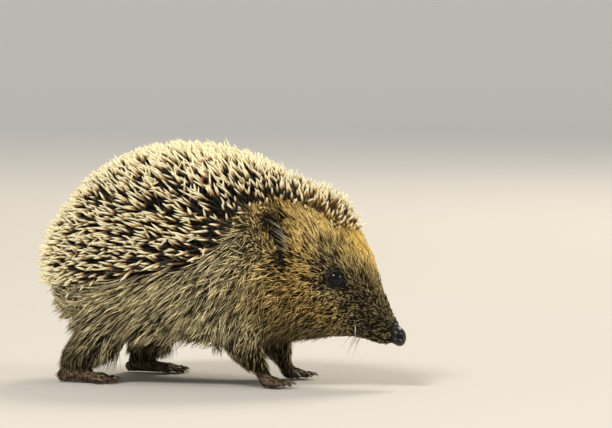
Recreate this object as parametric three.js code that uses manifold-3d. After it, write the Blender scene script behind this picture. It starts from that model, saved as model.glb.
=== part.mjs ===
// A young European hedgehog, standing, at life size. Millimetres, +X to the nose, +Y to the
// animal's left, +Z up, floor at Z = 0. Every outline runs to the tips of the coat.
import * as THREE from "three";
import { mergeVertices } from "three/addons/utils/BufferGeometryUtils.js";
import Module from "manifold-3d";

const wasm = await Module();
wasm.setup();

// ---- Driving dimensions ---------------------------------------------------------------
const GAP = 0.3; // clear space between neighbouring parts
const SPINE_REST = 0.3; // the mantle lies this far off the fur that it covers
const BLOCK = 300; // side of the blocks used as cutters

// Stations along the bent midline, each with its place (x, z) and how far the surface
// reaches up, down and sideways from it. The first set is the furred body, rump to snout.
const BODY = {
  rump: { x: -50.0, z: 35.5, up: 18.5, down: 20.5, half: 26.5 },
  haunch: { x: -34.0, z: 39.0, up: 24.0, down: 26.5, half: 30.0 },
  loin: { x: -10.0, z: 43.0, up: 32.5, down: 31.0, half: 33.5 },
  chest: { x: 12.0, z: 43.0, up: 31.0, down: 31.0, half: 32.0 },
  shoulder: { x: 27.0, z: 42.0, up: 27.0, down: 28.5, half: 28.0 },
  nape: { x: 38.0, z: 40.0, up: 23.5, down: 25.0, half: 24.0 },
  cheek: { x: 47.5, z: 36.0, up: 20.0, down: 20.5, half: 20.0 },
  eyes: { x: 56.5, z: 31.0, up: 15.0, down: 15.5, half: 14.6 },
  muzzle: { x: 64.5, z: 25.8, up: 8.8, down: 10.8, half: 9.0 },
  snout: { x: 71.0, z: 20.6, up: 4.8, down: 6.4, half: 5.4 },
  tip: { x: 76.2, z: 17.9, up: 3.2, down: 3.7, half: 3.5 },
};
// The second set is the outline of the spine tips, rump to brow.
const SPINES = {
  rump: { x: -56.5, z: 34.5, up: 17.5, down: 20.0, half: 26.0 },
  haunch: { x: -41.0, z: 37.0, up: 25.5, down: 26.0, half: 31.5 },
  croup: { x: -27.0, z: 40.5, up: 35.2, down: 31.0, half: 36.5 },
  loin: { x: -8.0, z: 43.0, up: 41.3, down: 33.0, half: 38.5 },
  back: { x: 10.0, z: 43.5, up: 39.7, down: 33.0, half: 37.5 },
  shoulder: { x: 25.0, z: 43.5, up: 35.0, down: 31.0, half: 33.0 },
  nape: { x: 38.0, z: 43.5, up: 28.0, down: 27.0, half: 28.0 },
  crown: { x: 50.0, z: 45.0, up: 25.8, down: 22.0, half: 22.0 },
  brow: { x: 63.5, z: 46.5, up: 28.0, down: 16.0, half: 15.0 },
};
const BODY_CAPS = { start: 30, end: 3.2 }; // length over which each end rounds off
const SPINES_CAPS = { start: 34, end: 13 };
const BOXINESS = 2.25; // 2 is an ellipse in cross-section, more is squarer

// Where the spines stop and the fur begins, seen from the side, rump to brow.
const SKIRT = [
  [-75, 30], [-39, 31.5], [-14, 36], [7, 41], [19, 45], [27, 53], [32, 61.5], [38, 65.5],
  [46, 64], [54, 59.5], [62, 53.5], [75, 44],
];
const SKIRT_STEPS = 44;

const NECK_BACK = { x: 27, z: 42, lean: 8 }; // planes that part the neck, lean in degrees
const NECK_FRONT = { x: 39, z: 40, lean: 18 };
const SNOUT_CUT = { x: 64.5, z: 25.8, lean: 31 };
const MOUTH = { hinge: [52, 19.6], lip: [71.5, 15.6], sag: 0.5, under: 12 }; // closed mouth's line

const EYE = { x: 57.7, y: 12.6, z: 37.4, r: 3.1, socket: 3.4 };
const NOSE = {
  x: 76.3, z: 17.2, long: 3.0, wide: 3.3, tall: 3.2,
  nostril: { ahead: 1.9, apart: 2.0, z: 17.3, deep: 1.2, r: 0.95 },
  groove: { ahead: 3.0, z: 16.0, deep: 0.8, wide: 0.35, tall: 2.2 },
};
const EAR = {
  x: 38.6, y: 22.6, z: 51.2, long: 11.4, wide: 6.6, deep: 3.3, wall: 1.7,
  pitch: -13, // leans back
  roll: 17, // top leans outward
  turn: 42, // opening faces forward and out
};
const TAIL = { root: [-41, 26], sag: 0.6, tip: [-51.5, 20], thick: 2.5, thin: 1.5 };

// A leg runs through its joints, with a radius at each. `follow` is the share of the stride
// by which that joint moves forward.
const FORELEG = [
  { x: 27, y: 15, z: 24, r: 7.5, follow: 0 },
  { x: 24.5, y: 17, z: 15, r: 6.2, follow: 0.4 },
  { x: 29.7, y: 17.5, z: 6.5, r: 4.2, follow: 1 },
  { x: 30, y: 17.5, z: 4.5, r: 3.6, follow: 1 },
];
const HIND_LEG = [
  { x: -23, y: 19, z: 24, r: 9.5, follow: 0 },
  { x: -25, y: 20.5, z: 15, r: 8.5, follow: 0.4 },
  { x: -34.5, y: 21, z: 7.5, r: 4.6, follow: 1 },
  { x: -36, y: 21, z: 4.4, r: 3.8, follow: 1 },
];
const STRIDE = { fore: { left: -3, right: 3 }, hind: { left: 3, right: -3 } };

// Paws are measured forward from the wrist or heel. Toes go from the inner to the outer one.
const FOREPAW = {
  x: 30.5, y: 17.5,
  palm: [{ x: -0.6, z: 5.2, r: 3.1 }, { x: 1.2, z: 2.6, r: 3.3 }, { x: 4.2, z: 2.0, r: 2.7 }],
  pad: { x: 3.2, z: 1.7, long: 4.0, wide: 4.3, tall: 2.2 },
  toes: { x: 5.0, span: 3.1, lengths: [2.6, 4.0, 4.5, 4.0, 2.8] },
};
const HIND_FOOT = {
  x: -37, y: 21,
  sole: [
    { x: -1, out: 0, z: 2.8, up: 3.0, half: 3.0 },
    { x: 6, out: 0, z: 2.6, up: 2.8, half: 3.3 },
    { x: 12, out: 0.6, z: 2.3, up: 2.4, half: 4.2 },
    { x: 17, out: 1.0, z: 2.0, up: 1.9, half: 4.2 },
  ],
  toes: { x: 15.2, out: 0.9, span: 3.3, lengths: [3.2, 4.6, 5.0, 4.4, 3.2] },
};
const SOLE_SINK = 0.5; // soles are made this much too deep, then cut flat at the floor
const TOE = { z: 1.3, radii: [1.45, 1.3, 1.15], droop: 0.35, fan: 0.42, curve: 1.6 };
const CLAW = { root: 0.78, tip: 0.34, share: 0.72, knuckle: 1.2 }; // share of its toe's length

const LOOKS = {
  spines: { color: 0xb9ad84, roughness: 0.6 },
  flankFur: { color: 0x75674a, roughness: 0.9 },
  faceFur: { color: 0x8a6a3c, roughness: 0.9 },
  maskFur: { color: 0x3b2f1d, roughness: 0.85 },
  skin: { color: 0x3a2c22, roughness: 0.7 },
  legFur: { color: 0x4d3d2a, roughness: 0.9 },
  eye: { color: 0x080606, roughness: 0.08 },
  nose: { color: 0x14100e, roughness: 0.3 },
};

// ---- Shape helpers --------------------------------------------------------------------
const rad = THREE.MathUtils.degToRad;

// A closed mesh as a manifold-3d solid, for joining and cutting.
function solid(geometry) {
  geometry.deleteAttribute("normal");
  geometry.deleteAttribute("uv");
  const merged = mergeVertices(geometry, 1e-4);
  return new wasm.Manifold(new wasm.Mesh({
    numProp: 3,
    vertProperties: new Float32Array(merged.attributes.position.array),
    triVerts: new Uint32Array(merged.index.array),
  }));
}

// The solid's surface as a three.js geometry.
function surface(made) {
  const mesh = made.getMesh();
  const geometry = new THREE.BufferGeometry();
  geometry.setAttribute("position", new THREE.BufferAttribute(mesh.vertProperties, 3));
  geometry.setIndex(new THREE.BufferAttribute(mesh.triVerts, 1));
  geometry.computeVertexNormals();
  return geometry;
}

// A closed body along a smooth axis through the stations. Its section is a squared ellipse
// with its own reach up, down and sideways, and its two ends round off over caps.start and
// caps.end. `above` is the direction that "up" leans to, square to the axis.
function loft(stations, { sides, rings, caps, above = [0, 0, 1], boxiness = 2, grow = 0 }) {
  const axis = new THREE.CatmullRomCurve3(
    stations.map((s) => new THREE.Vector3(s.x, s.y ?? 0, s.z)), false, "centripetal");
  const reach = new THREE.CatmullRomCurve3(
    stations.map((s) => new THREE.Vector3(s.up, s.down, s.half)), false, "catmullrom", 0.4);
  const length = axis.getLength();
  const geometry = new THREE.SphereGeometry(1, sides, rings);
  const { position, uv } = geometry.attributes;
  const reference = new THREE.Vector3(...above);
  const power = (v) => Math.sign(v) * Math.abs(v) ** (2 / boxiness);
  const closing = (gap, cap) => {
    const share = Math.min(1, gap / (cap + grow));
    return Math.sqrt(Math.max(0, 1 - (1 - share) ** 2));
  };
  for (let i = 0; i < position.count; i++) {
    const along = (1 - Math.cos(Math.PI * (1 - uv.getY(i)))) / 2; // close rings at the ends
    const turn = 2 * Math.PI * uv.getX(i);
    const t = axis.getUtoTmapping(along);
    const tangent = axis.getTangent(t);
    const up = reference.clone().addScaledVector(tangent, -tangent.dot(reference)).normalize();
    const side = tangent.clone().cross(up);
    const { x: rise, y: drop, z: half } = reach.getPoint(t);
    const spread = closing(along * length + grow, caps.start)
      * closing((1 - along) * length + grow, caps.end);
    const point = axis.getPoint(t)
      .addScaledVector(tangent, grow * (2 * along - 1))
      .addScaledVector(side, power(Math.cos(turn)) * (half + grow) * spread)
      .addScaledVector(up, power(Math.sin(turn))
        * ((Math.sin(turn) > 0 ? rise : drop) + grow) * spread);
    position.setXYZ(i, point.x, point.y, point.z);
  }
  closePoles(geometry);
  return solid(geometry);
}

// Brings the vertices of each pole together, so that the ends close.
function closePoles(geometry) {
  const { position, uv } = geometry.attributes;
  for (const pole of [0, 1]) {
    const ring = [...Array(position.count).keys()].filter((i) => uv.getY(i) === pole);
    const middle = new THREE.Vector3();
    const at = new THREE.Vector3();
    ring.forEach((i) => middle.add(at.fromBufferAttribute(position, i)));
    middle.divideScalar(ring.length);
    ring.forEach((i) => position.setXYZ(i, middle.x, middle.y, middle.z));
  }
}

// A tapered round limb, toe or claw through [x, y, z, radius] points.
function limb(points, { sides = 10, rings = 8, above = [1, 0, 0], grow = 0 }) {
  const stations = points.map(([x, y, z, r]) => ({ x, y, z, up: r, down: r, half: r }));
  const [start, end] = [points[0][3], points.at(-1)[3]];
  return loft(stations, { sides, rings, above, grow, caps: { start, end } });
}

function ellipsoid(centre, radii, { sides = 12, rings = 9, turn = new THREE.Matrix4() } = {}) {
  const geometry = new THREE.SphereGeometry(1, sides, rings);
  geometry.scale(...radii).applyMatrix4(turn).translate(...centre);
  return solid(geometry);
}

// A block whose one face passes through (x, z), leaning from upright, with the block on the
// nose's side of it, or on the rump's side where `behind` is true.
function beyond({ x, z, lean }, offset = 0, behind = false) {
  const way = behind ? -1 : 1;
  const geometry = new THREE.BoxGeometry(BLOCK, BLOCK, BLOCK);
  geometry.translate(way * (BLOCK / 2 + offset), 0, 0).rotateY(rad(lean)).translate(x, 0, z);
  return solid(geometry);
}

const floorBlock = solid(new THREE.BoxGeometry(BLOCK, BLOCK, BLOCK).translate(0, 0, -BLOCK / 2));

// An outline drawn in side view (x, z), as a block right across the animal.
function acrossBlock(outline) {
  const geometry = new THREE.ExtrudeGeometry(outline, { depth: BLOCK, bevelEnabled: false });
  return solid(geometry.rotateX(Math.PI / 2).translate(0, BLOCK / 2, 0));
}

// ---- Trunk, neck and head -------------------------------------------------------------
function furredBody(grow = 0) {
  const shape = { sides: 28, rings: 25, caps: BODY_CAPS, boxiness: BOXINESS, grow };
  return loft(Object.values(BODY), shape);
}

// The layer of spines: their outline, above the skirt line, less the furred body under them.
function spineMantle() {
  const shape = { sides: 28, rings: 19, caps: SPINES_CAPS, boxiness: BOXINESS };
  const skirt = new THREE.SplineCurve(SKIRT.map(([x, z]) => new THREE.Vector2(x, z)));
  const aboveSkirt = acrossBlock(new THREE.Shape([
    ...skirt.getPoints(SKIRT_STEPS),
    new THREE.Vector2(SKIRT.at(-1)[0], BLOCK / 2),
    new THREE.Vector2(SKIRT[0][0], BLOCK / 2),
  ]));
  return loft(Object.values(SPINES), shape).intersect(aboveSkirt).subtract(furredBody(SPINE_REST));
}

// ---- Head pieces, for one side (1 left, -1 right) -------------------------------------
function eyeball(side, radius = EYE.r) {
  return ellipsoid([EYE.x, side * EYE.y, EYE.z], [radius, radius, radius], { sides: 12, rings: 8 });
}

function earPose(side) {
  return new THREE.Matrix4().makeRotationFromEuler(
    new THREE.Euler(rad(-side * EAR.roll), rad(EAR.pitch), rad(side * EAR.turn), "XYZ"));
}

// A rounded leaf with a hollow front.
function ear(side) {
  const turn = earPose(side);
  const hollow = new THREE.Vector3(EAR.wall, 0, EAR.wall * 0.2).applyMatrix4(turn);
  const centre = new THREE.Vector3(EAR.x, side * EAR.y, EAR.z);
  const leaf = ellipsoid(centre.toArray(), [EAR.deep, EAR.wide, EAR.long], { turn });
  const inside = [EAR.deep, EAR.wide - EAR.wall * 0.75, EAR.long - EAR.wall * 0.75];
  return leaf
    .subtract(ellipsoid(centre.add(hollow).toArray(), inside, { turn }))
    .subtract(furredBody(GAP));
}

function nosePad() {
  const { nostril, groove } = NOSE;
  const pad = ellipsoid([NOSE.x, 0, NOSE.z], [NOSE.long, NOSE.wide, NOSE.tall],
    { sides: 10, rings: 8 });
  const cleft = ellipsoid([NOSE.x + groove.ahead, 0, groove.z],
    [groove.deep, groove.wide, groove.tall], { sides: 6, rings: 5 });
  const nostrils = [1, -1].map((side) => ellipsoid(
    [NOSE.x + nostril.ahead, side * nostril.apart, nostril.z],
    [nostril.deep, nostril.r, nostril.r], { sides: 7, rings: 5 }));
  return nostrils.reduce((made, hole) => made.subtract(hole), pad.subtract(cleft));
}

// A block of everything under the mouth's line and in front of its corner, `gap` inside it.
function belowMouth(gap = 0) {
  const [hingeX, hingeZ] = MOUTH.hinge;
  const [lipX, lipZ] = MOUTH.lip;
  const under = hingeZ - MOUTH.under - gap;
  const outline = new THREE.Shape([
    new THREE.Vector2(hingeX + gap, under),
    new THREE.Vector2(lipX + 2 * MOUTH.under, under),
    new THREE.Vector2(lipX + gap, lipZ - gap),
    new THREE.Vector2((hingeX + lipX) / 2, (hingeZ + lipZ) / 2 - MOUTH.sag - gap),
    new THREE.Vector2(hingeX + gap, hingeZ - gap),
  ]);
  return acrossBlock(outline);
}

// ---- Legs and paws, for one side ------------------------------------------------------
// Five toes fanned from (x, y), each with a claw joined to it.
function toes(x, y, side, { span, lengths }) {
  return lengths.flatMap((length, i) => {
    const share = (i - 2) / 2; // -1 inner toe, 1 outer toe
    const way = [Math.cos(share * TOE.fan), Math.sin(share * TOE.fan) * side];
    const start = [x - TOE.curve * share * share, y + share * span * side];
    const ahead = (distance) => [start[0] + way[0] * distance, start[1] + way[1] * distance];
    const [root, middle, end] = TOE.radii;
    return [
      limb([
        [...ahead(0), TOE.z, root],
        [...ahead(length / 2), TOE.z, middle],
        [...ahead(length), TOE.z - TOE.droop, end],
      ], { sides: 6, rings: 3, above: [0, 0, 1] }),
      limb([
        [...ahead(length - CLAW.knuckle), TOE.z, CLAW.root],
        [...ahead(length + CLAW.knuckle), TOE.z - 0.1, CLAW.root * 0.9],
        [...ahead(length * (1 + CLAW.share)), CLAW.tip, CLAW.tip],
      ], { sides: 4, rings: 3, above: [0, 0, 1] }),
    ];
  });
}

function forepaw(side, stride) {
  const [x, y] = [FOREPAW.x + stride, side * FOREPAW.y];
  const { pad } = FOREPAW;
  const palm = limb(FOREPAW.palm.map((s) => [x + s.x, y, s.z, s.r]),
    { sides: 8, rings: 5, above: [0, 1, 0] });
  const heel = ellipsoid([x + pad.x, y, pad.z], [pad.long, pad.wide, pad.tall],
    { sides: 10, rings: 5 });
  return toes(x + FOREPAW.toes.x, y, side, FOREPAW.toes)
    .reduce((made, toe) => made.add(toe), palm.add(heel))
    .subtract(floorBlock);
}

function hindFoot(side, stride) {
  const [x, y] = [HIND_FOOT.x + stride, side * HIND_FOOT.y];
  const stations = HIND_FOOT.sole.map((s) => ({
    x: x + s.x, y: y + side * s.out, z: s.z, up: s.up, down: s.z + SOLE_SINK, half: s.half,
  }));
  const sole = loft(stations, { sides: 10, rings: 7, caps: { start: 3, end: 3 } });
  return toes(x + HIND_FOOT.toes.x, y + side * HIND_FOOT.toes.out, side, HIND_FOOT.toes)
    .reduce((made, toe) => made.add(toe), sole)
    .subtract(floorBlock);
}

// A leg, cut clear of the body above it and of the paw under it.
function leg(joints, side, stride, paw) {
  const nudges = [[0, 0, 0], [0, 0, GAP], [GAP, 0, 0], [-GAP, 0, 0], [0, GAP, 0], [0, -GAP, 0]];
  const clearance = nudges.map((by) => paw.translate(by)).reduce((made, moved) => made.add(moved));
  return limb(joints.map((j) => [j.x + stride * j.follow, side * j.y, j.z, j.r]),
    { sides: 12, rings: 8 }).subtract(furredBody(GAP)).subtract(clearance);
}

function tail() {
  const [[rx, rz], [tx, tz]] = [TAIL.root, TAIL.tip];
  const whole = limb([
    [rx, 0, rz, TAIL.thick],
    [(rx + tx) / 2, 0, (rz + tz) / 2 - TAIL.sag, (TAIL.thick + TAIL.thin) / 2],
    [tx, 0, tz, TAIL.thin],
  ], { sides: 10, rings: 6, above: [0, 0, 1] });
  return whole.subtract(furredBody(GAP));
}

// ---- The whole animal -----------------------------------------------------------------
const animal = new THREE.Group();

function place(name, made, look) {
  const mesh = new THREE.Mesh(surface(made), new THREE.MeshStandardMaterial(LOOKS[look]));
  mesh.name = name;
  animal.add(mesh);
}

// One furred body, parted by thin cuts into trunk, neck, head, snout and jaw.
const body = furredBody();
const sockets = [1, -1].map((side) => eyeball(side, EYE.socket));
const noseSocket = ellipsoid([NOSE.x, 0, NOSE.z],
  [NOSE.long + GAP, NOSE.wide + GAP, NOSE.tall + GAP]);
const front = sockets.reduce((made, socket) => made.subtract(socket),
  body.intersect(beyond(NECK_FRONT, GAP / 2)));
const neckSlice = body.intersect(beyond(NECK_BACK, GAP / 2))
  .intersect(beyond(NECK_FRONT, GAP / 2, true));

place("mantle", spineMantle(), "spines");
place("trunk", body.intersect(beyond(NECK_BACK, GAP / 2, true)), "flankFur");
place("neck", neckSlice, "flankFur");
place("head", front.intersect(beyond(SNOUT_CUT, GAP / 2, true)).subtract(belowMouth()), "faceFur");
place("snout", front.intersect(beyond(SNOUT_CUT, GAP / 2)).subtract(belowMouth())
  .subtract(noseSocket), "maskFur");
place("jaw", front.intersect(belowMouth(GAP)).subtract(noseSocket), "maskFur");
place("nose", nosePad(), "nose");
place("tail", tail(), "skin");

for (const [side, label] of [[1, "left"], [-1, "right"]]) {
  const paw = forepaw(side, STRIDE.fore[label]);
  const foot = hindFoot(side, STRIDE.hind[label]);
  place(`eye_${label}`, eyeball(side), "eye");
  place(`ear_${label}`, ear(side), "skin");
  place(`foreleg_${label}`, leg(FORELEG, side, STRIDE.fore[label], paw), "legFur");
  place(`forepaw_${label}`, paw, "skin");
  place(`hind_leg_${label}`, leg(HIND_LEG, side, STRIDE.hind[label], foot), "legFur");
  place(`hind_foot_${label}`, foot, "skin");
}

// The origin goes to the floor under the middle of the whole animal's box.
const middle = new THREE.Box3().setFromObject(animal).getCenter(new THREE.Vector3());
animal.position.set(-middle.x, -middle.y, 0);
export default animal;
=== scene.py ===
# %% [markdown]
# # A young hedgehog, standing
# A hedgehog wears two coats on one small body. Stiff spines cover the back from the brow to
# the rump, and coarse hair covers the face, the flanks and the legs. This notebook starts from
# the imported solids, which hold the outline of both coats out to their tips. It makes one
# seamless skin inside them, and then grows every spine and tuft of hair as real mesh on it.

# %% Load the frame
import math

import bmesh
import bpy
import numpy as np
from mathutils import Matrix, Vector
from mathutils.bvhtree import BVHTree
from mathutils.kdtree import KDTree


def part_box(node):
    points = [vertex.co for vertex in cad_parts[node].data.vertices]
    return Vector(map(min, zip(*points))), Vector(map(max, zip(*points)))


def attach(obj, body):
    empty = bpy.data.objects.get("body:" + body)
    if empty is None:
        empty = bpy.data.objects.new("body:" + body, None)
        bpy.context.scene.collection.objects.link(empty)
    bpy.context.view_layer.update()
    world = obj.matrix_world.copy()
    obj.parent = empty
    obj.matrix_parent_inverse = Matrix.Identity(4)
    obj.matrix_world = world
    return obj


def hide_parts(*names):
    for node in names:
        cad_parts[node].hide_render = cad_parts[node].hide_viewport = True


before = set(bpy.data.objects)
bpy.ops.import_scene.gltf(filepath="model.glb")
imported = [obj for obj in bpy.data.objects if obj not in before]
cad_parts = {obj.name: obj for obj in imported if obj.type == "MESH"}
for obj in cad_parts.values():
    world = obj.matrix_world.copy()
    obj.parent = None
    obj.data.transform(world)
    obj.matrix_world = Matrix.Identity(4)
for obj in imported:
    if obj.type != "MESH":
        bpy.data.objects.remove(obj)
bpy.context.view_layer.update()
MM = 0.001  # the shapes are worked out in millimetres and stored in metres
SIDES = {"left": 1, "right": -1}


# %% [markdown]
# ## Camera, floor and light
# A small animal looks itself when the camera is far away and the lens is long, so the view is
# almost flat. The floor is a pale disc that turns up into a wall far behind, and hides no part
# of the paws. Three soft lamps stand round the animal: one high in front, a weaker one from the
# nose's side, and a warm one from behind that lights the edges of the fur.

# %% Camera
AZIMUTH = math.radians(22)  # the animal's right side, with the nose end nearer
ELEVATION = math.radians(3)
CAMERA_DISTANCE = 1.5
VIEW_WIDTH = 0.211  # what the frame spans at the animal
AIM_RIGHT = 0.0283  # the middle of the frame, from the point under the animal's middle
AIM_UP = 0.0579
SENSOR_WIDTH = 36
VIEW_END = 20  # nothing further off than this is seen


def new_object(name, data):
    made = bpy.data.objects.new(name, data)
    bpy.context.scene.collection.objects.link(made)
    return made


def look_along(thing, way):
    """Turns a camera or a lamp."""
    thing.rotation_mode = "QUATERNION"
    thing.rotation_quaternion = way.to_track_quat("-Z", "Y")


def add_camera():
    data = bpy.data.cameras.new("camera")
    data.sensor_width = SENSOR_WIDTH
    data.lens = SENSOR_WIDTH * CAMERA_DISTANCE / VIEW_WIDTH
    data.clip_end = VIEW_END
    camera = new_object("camera", data)
    right = Vector((math.cos(AZIMUTH), math.sin(AZIMUTH), 0))
    back = Vector((math.sin(AZIMUTH) * math.cos(ELEVATION),
                   -math.cos(AZIMUTH) * math.cos(ELEVATION), math.sin(ELEVATION)))
    camera.location = right * AIM_RIGHT + Vector((0, 0, AIM_UP)) + back * CAMERA_DISTANCE
    look_along(camera, -back)
    bpy.context.scene.camera = camera
    return right, back


SCREEN_RIGHT, TO_CAMERA = add_camera()
print("camera: lens", round(bpy.context.scene.camera.data.lens), "mm")

# %% Floor and lamps
FLOOR_RADIUS = 2.6
FLOOR_SIDES = 96
SWEEP_RADIUS = 1.0
SWEEP_STEPS = 10


def object_from(name, shape, smooth=True):
    """Turns a bmesh into an object at the origin."""
    mesh = bpy.data.meshes.new(name)
    shape.to_mesh(mesh)
    shape.free()
    if smooth:
        mesh.shade_smooth()
    return new_object(name, mesh)


def add_floor():
    """A disc whose rim turns up through a quarter circle."""
    shape = bmesh.new()
    bmesh.ops.create_circle(shape, cap_ends=True, segments=FLOOR_SIDES, radius=FLOOR_RADIUS)
    rim = shape.edges[:]
    reach, height = FLOOR_RADIUS, 0.0
    for step in range(1, SWEEP_STEPS + 1):
        turn = math.pi / 2 * step / SWEEP_STEPS
        new_reach = FLOOR_RADIUS + SWEEP_RADIUS * math.sin(turn)
        new_height = SWEEP_RADIUS * (1 - math.cos(turn))
        made = bmesh.ops.extrude_edge_only(shape, edges=rim)["geom"]
        ring = [v for v in made if isinstance(v, bmesh.types.BMVert)]
        rim = [e for e in made if isinstance(e, bmesh.types.BMEdge)]
        bmesh.ops.scale(shape, verts=ring, vec=(new_reach / reach, new_reach / reach, 1))
        bmesh.ops.translate(shape, verts=ring, vec=(0, 0, new_height - height))
        reach, height = new_reach, new_height
    made = object_from("floor", shape)
    return made


LAMPS = {  # name: (place relative to the camera's right, height, towards the camera), size, watts, tint
    "lamp_front": ((-0.55, 1.25, 0.85), 0.5, 16, (1.0, 0.94, 0.84)),
    "lamp_nose": ((1.3, 0.75, 0.55), 0.55, 6.5, (1.0, 0.95, 0.87)),
    "lamp_behind": ((0.5, 1.2, -1.1), 0.7, 16, (1.0, 0.88, 0.7)),
}
LAMP_AIM = Vector((0, 0, 0.04))
SKY_TINT = (1.0, 0.965, 0.9, 1)
SKY_STRENGTH = 0.48


def add_lamp(name, place, size, watts, tint):
    data = bpy.data.lights.new(name, "AREA")
    data.shape = "DISK"
    data.size = size
    data.energy = watts
    data.color = tint
    lamp = new_object(name, data)
    across, height, towards = place
    flat_back = Vector((TO_CAMERA.x, TO_CAMERA.y, 0)).normalized()
    lamp.location = SCREEN_RIGHT * across + flat_back * towards + Vector((0, 0, height))
    look_along(lamp, LAMP_AIM - lamp.location)
    lamp.visible_camera = False


floor = add_floor()
for lamp_name, lamp_facts in LAMPS.items():
    add_lamp(lamp_name, *lamp_facts)
world = bpy.data.worlds.new("studio")
bpy.context.scene.world = world
world.use_nodes = True
sky = world.node_tree.nodes["Background"].inputs
sky["Color"].default_value = SKY_TINT
sky["Strength"].default_value = SKY_STRENGTH
bpy.context.scene.view_settings.view_transform = "Standard"
print("studio:", len(LAMPS), "lamps")


# %% [markdown]
# ## Shader sums
# A finish is easier to read as arithmetic than as a list of links. `Wire` stands for one value
# on its way through a material, and `Finish` makes the nodes.

# %% Wire and Finish
class Wire:
    """A shader value that is added, subtracted and multiplied like a number."""

    def __init__(self, finish, socket):
        self.finish = finish
        self.socket = socket

    def math(self, operation, *inputs):
        return self.finish.node("ShaderNodeMath", {"operation": operation}, dict(enumerate(inputs)))

    def __add__(self, other):
        return self.math("ADD", self, other)

    def __sub__(self, other):
        return self.math("SUBTRACT", self, other)

    def __rsub__(self, other):
        return self.math("SUBTRACT", other, self)

    def __mul__(self, other):
        return self.math("MULTIPLY", self, other)

    def ramp(self, low, high):
        """Runs smoothly from 0 to 1 as the value goes from low to high."""
        return self.finish.node("ShaderNodeMapRange", {"interpolation_type": "SMOOTHSTEP"},
                                {"Value": self, "From Min": low, "From Max": high})


class Finish:
    """One material, with a Principled shader ready to be fed."""

    def __init__(self, name, **sockets):
        self.material = bpy.data.materials.new(name)
        self.material.use_nodes = True
        self.tree = self.material.node_tree
        self.shader = self.tree.nodes["Principled BSDF"]
        self.feed(self.shader, sockets)

    def feed(self, node, values):
        for key, value in values.items():
            socket = node.inputs[key.replace("_", " ") if isinstance(key, str) else key]
            if isinstance(value, Wire):
                self.tree.links.new(value.socket, socket)
            else:
                socket.default_value = value

    def node(self, kind, settings, inputs, output=0):
        made = self.tree.nodes.new(kind)
        for key, value in settings.items():
            setattr(made, key, value)
        self.feed(made, inputs)
        return Wire(self, made.outputs[output])

    def attribute(self, name):
        """The three numbers kept in a colour attribute."""
        packed = self.node("ShaderNodeAttribute", {"attribute_name": name}, {}, "Color")
        return [self.node("ShaderNodeSeparateColor", {}, {"Color": packed}, i) for i in range(3)]

    def fourth(self, name):
        """The fourth number of a colour attribute."""
        return self.node("ShaderNodeAttribute", {"attribute_name": name}, {}, "Alpha")

    def mix(self, factor, first, second):
        """Blends two colours."""
        return self.node("ShaderNodeMix", {"data_type": "RGBA"}, {0: factor, 6: first, 7: second}, 2)

    def scaled(self, tint, strength):
        """Makes a colour brighter or darker."""
        return self.node("ShaderNodeVectorMath", {"operation": "SCALE"}, {0: tint, "Scale": strength})

    def place(self):
        """Where the surface is, in the object's own coordinates."""
        return self.node("ShaderNodeTexCoord", {}, {}, "Object")

    def noise(self, scale, detail=2.0, stretch=(1, 1, 1)):
        """Noise on the object's own coordinates, scale in features per metre."""
        mapped = self.node("ShaderNodeMapping", {}, {"Vector": self.place(), "Scale": stretch})
        return self.node("ShaderNodeTexNoise", {}, {"Vector": mapped, "Scale": scale,
                                                    "Detail": detail}, "Fac")

    def coloured(self, tint):
        """Gives the finish its colour, and hands the finish back."""
        self.feed(self.shader, {"Base Color": tint})
        return self

    def bump(self, height, distance, strength):
        normal = self.node("ShaderNodeBump", {}, {"Height": height, "Distance": distance,
                                                  "Strength": strength})
        self.feed(self.shader, {"Normal": normal})


def paint(made, finish):
    """Gives an object its finish and its place on the body."""
    made.data.materials.clear()
    made.data.materials.append(finish.material)
    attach(made, "root")
    return made


# %% Floor finish
# The near floor is painted darker and the far floor paler: painted light and shade against the lamps'
# falloff.
FLOOR_NEAR = (0.58, 0.565, 0.54, 1)
FLOOR_FAR = (0.9, 0.9, 0.89, 1)
FLOOR_FADE = (0.6, 2.6)  # from the near colour to the far one


def make_floor_finish():
    """Pale, and painted paler far away, where the lamps don't reach: painted light that evens out their
    falloff.
    """
    finish = Finish("pale_floor", Roughness=0.8)
    length = finish.node("ShaderNodeVectorMath", {"operation": "LENGTH"}, {0: finish.place()}, "Value")
    return finish.coloured(finish.mix(length.ramp(*FLOOR_FADE), FLOOR_NEAR, FLOOR_FAR))


floor.data.materials.append(make_floor_finish().material)
print("floor:", floor.data.materials[0].name, len(floor.data.polygons), "faces")

# %% [markdown]
# ## Mesh helpers
# Points travel between Blender and NumPy as plain arrays in millimetres. A `Net` knows which
# points are neighbours, so it can smooth a shape, or spread a value such as the depth of the coat.

# %% Helpers
def rows_of(items, key, width, kind=np.float32):
    """One row of `width` numbers for each of a mesh's points, edges, triangles or corners."""
    flat = np.empty(len(items) * width, kind)
    items.foreach_get(key, flat)
    return flat.reshape(-1, width)


def put_rows(items, key, rows, kind=np.float32):
    items.foreach_set(key, np.asarray(rows).astype(kind).ravel())


def points_of(mesh):
    return rows_of(mesh.vertices, "co", 3).astype(float) / MM


def put_points(mesh, places):
    put_rows(mesh.vertices, "co", places * MM)
    mesh.update()


def normals_of(mesh):
    return rows_of(mesh.vertex_normals, "vector", 3).astype(float)


def triangles_of(mesh):
    mesh.calc_loop_triangles()
    return rows_of(mesh.loop_triangles, "vertices", 3, np.int32)


def box_of(node):
    """Lowest and highest corner of a solid, in millimetres."""
    return [np.array(corner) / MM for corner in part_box(node)]


def place_of(node):
    """Middle and half size of a solid, in millimetres."""
    low, high = box_of(node)
    return (low + high) / 2, (high - low) / 2


def unit(vectors):
    return vectors / np.maximum(np.linalg.norm(vectors, axis=-1, keepdims=True), 1e-9)


def smoothstep(low, high, value):
    share = np.clip((value - low) / (high - low), 0, 1)
    return share * share * (3 - 2 * share)


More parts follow.
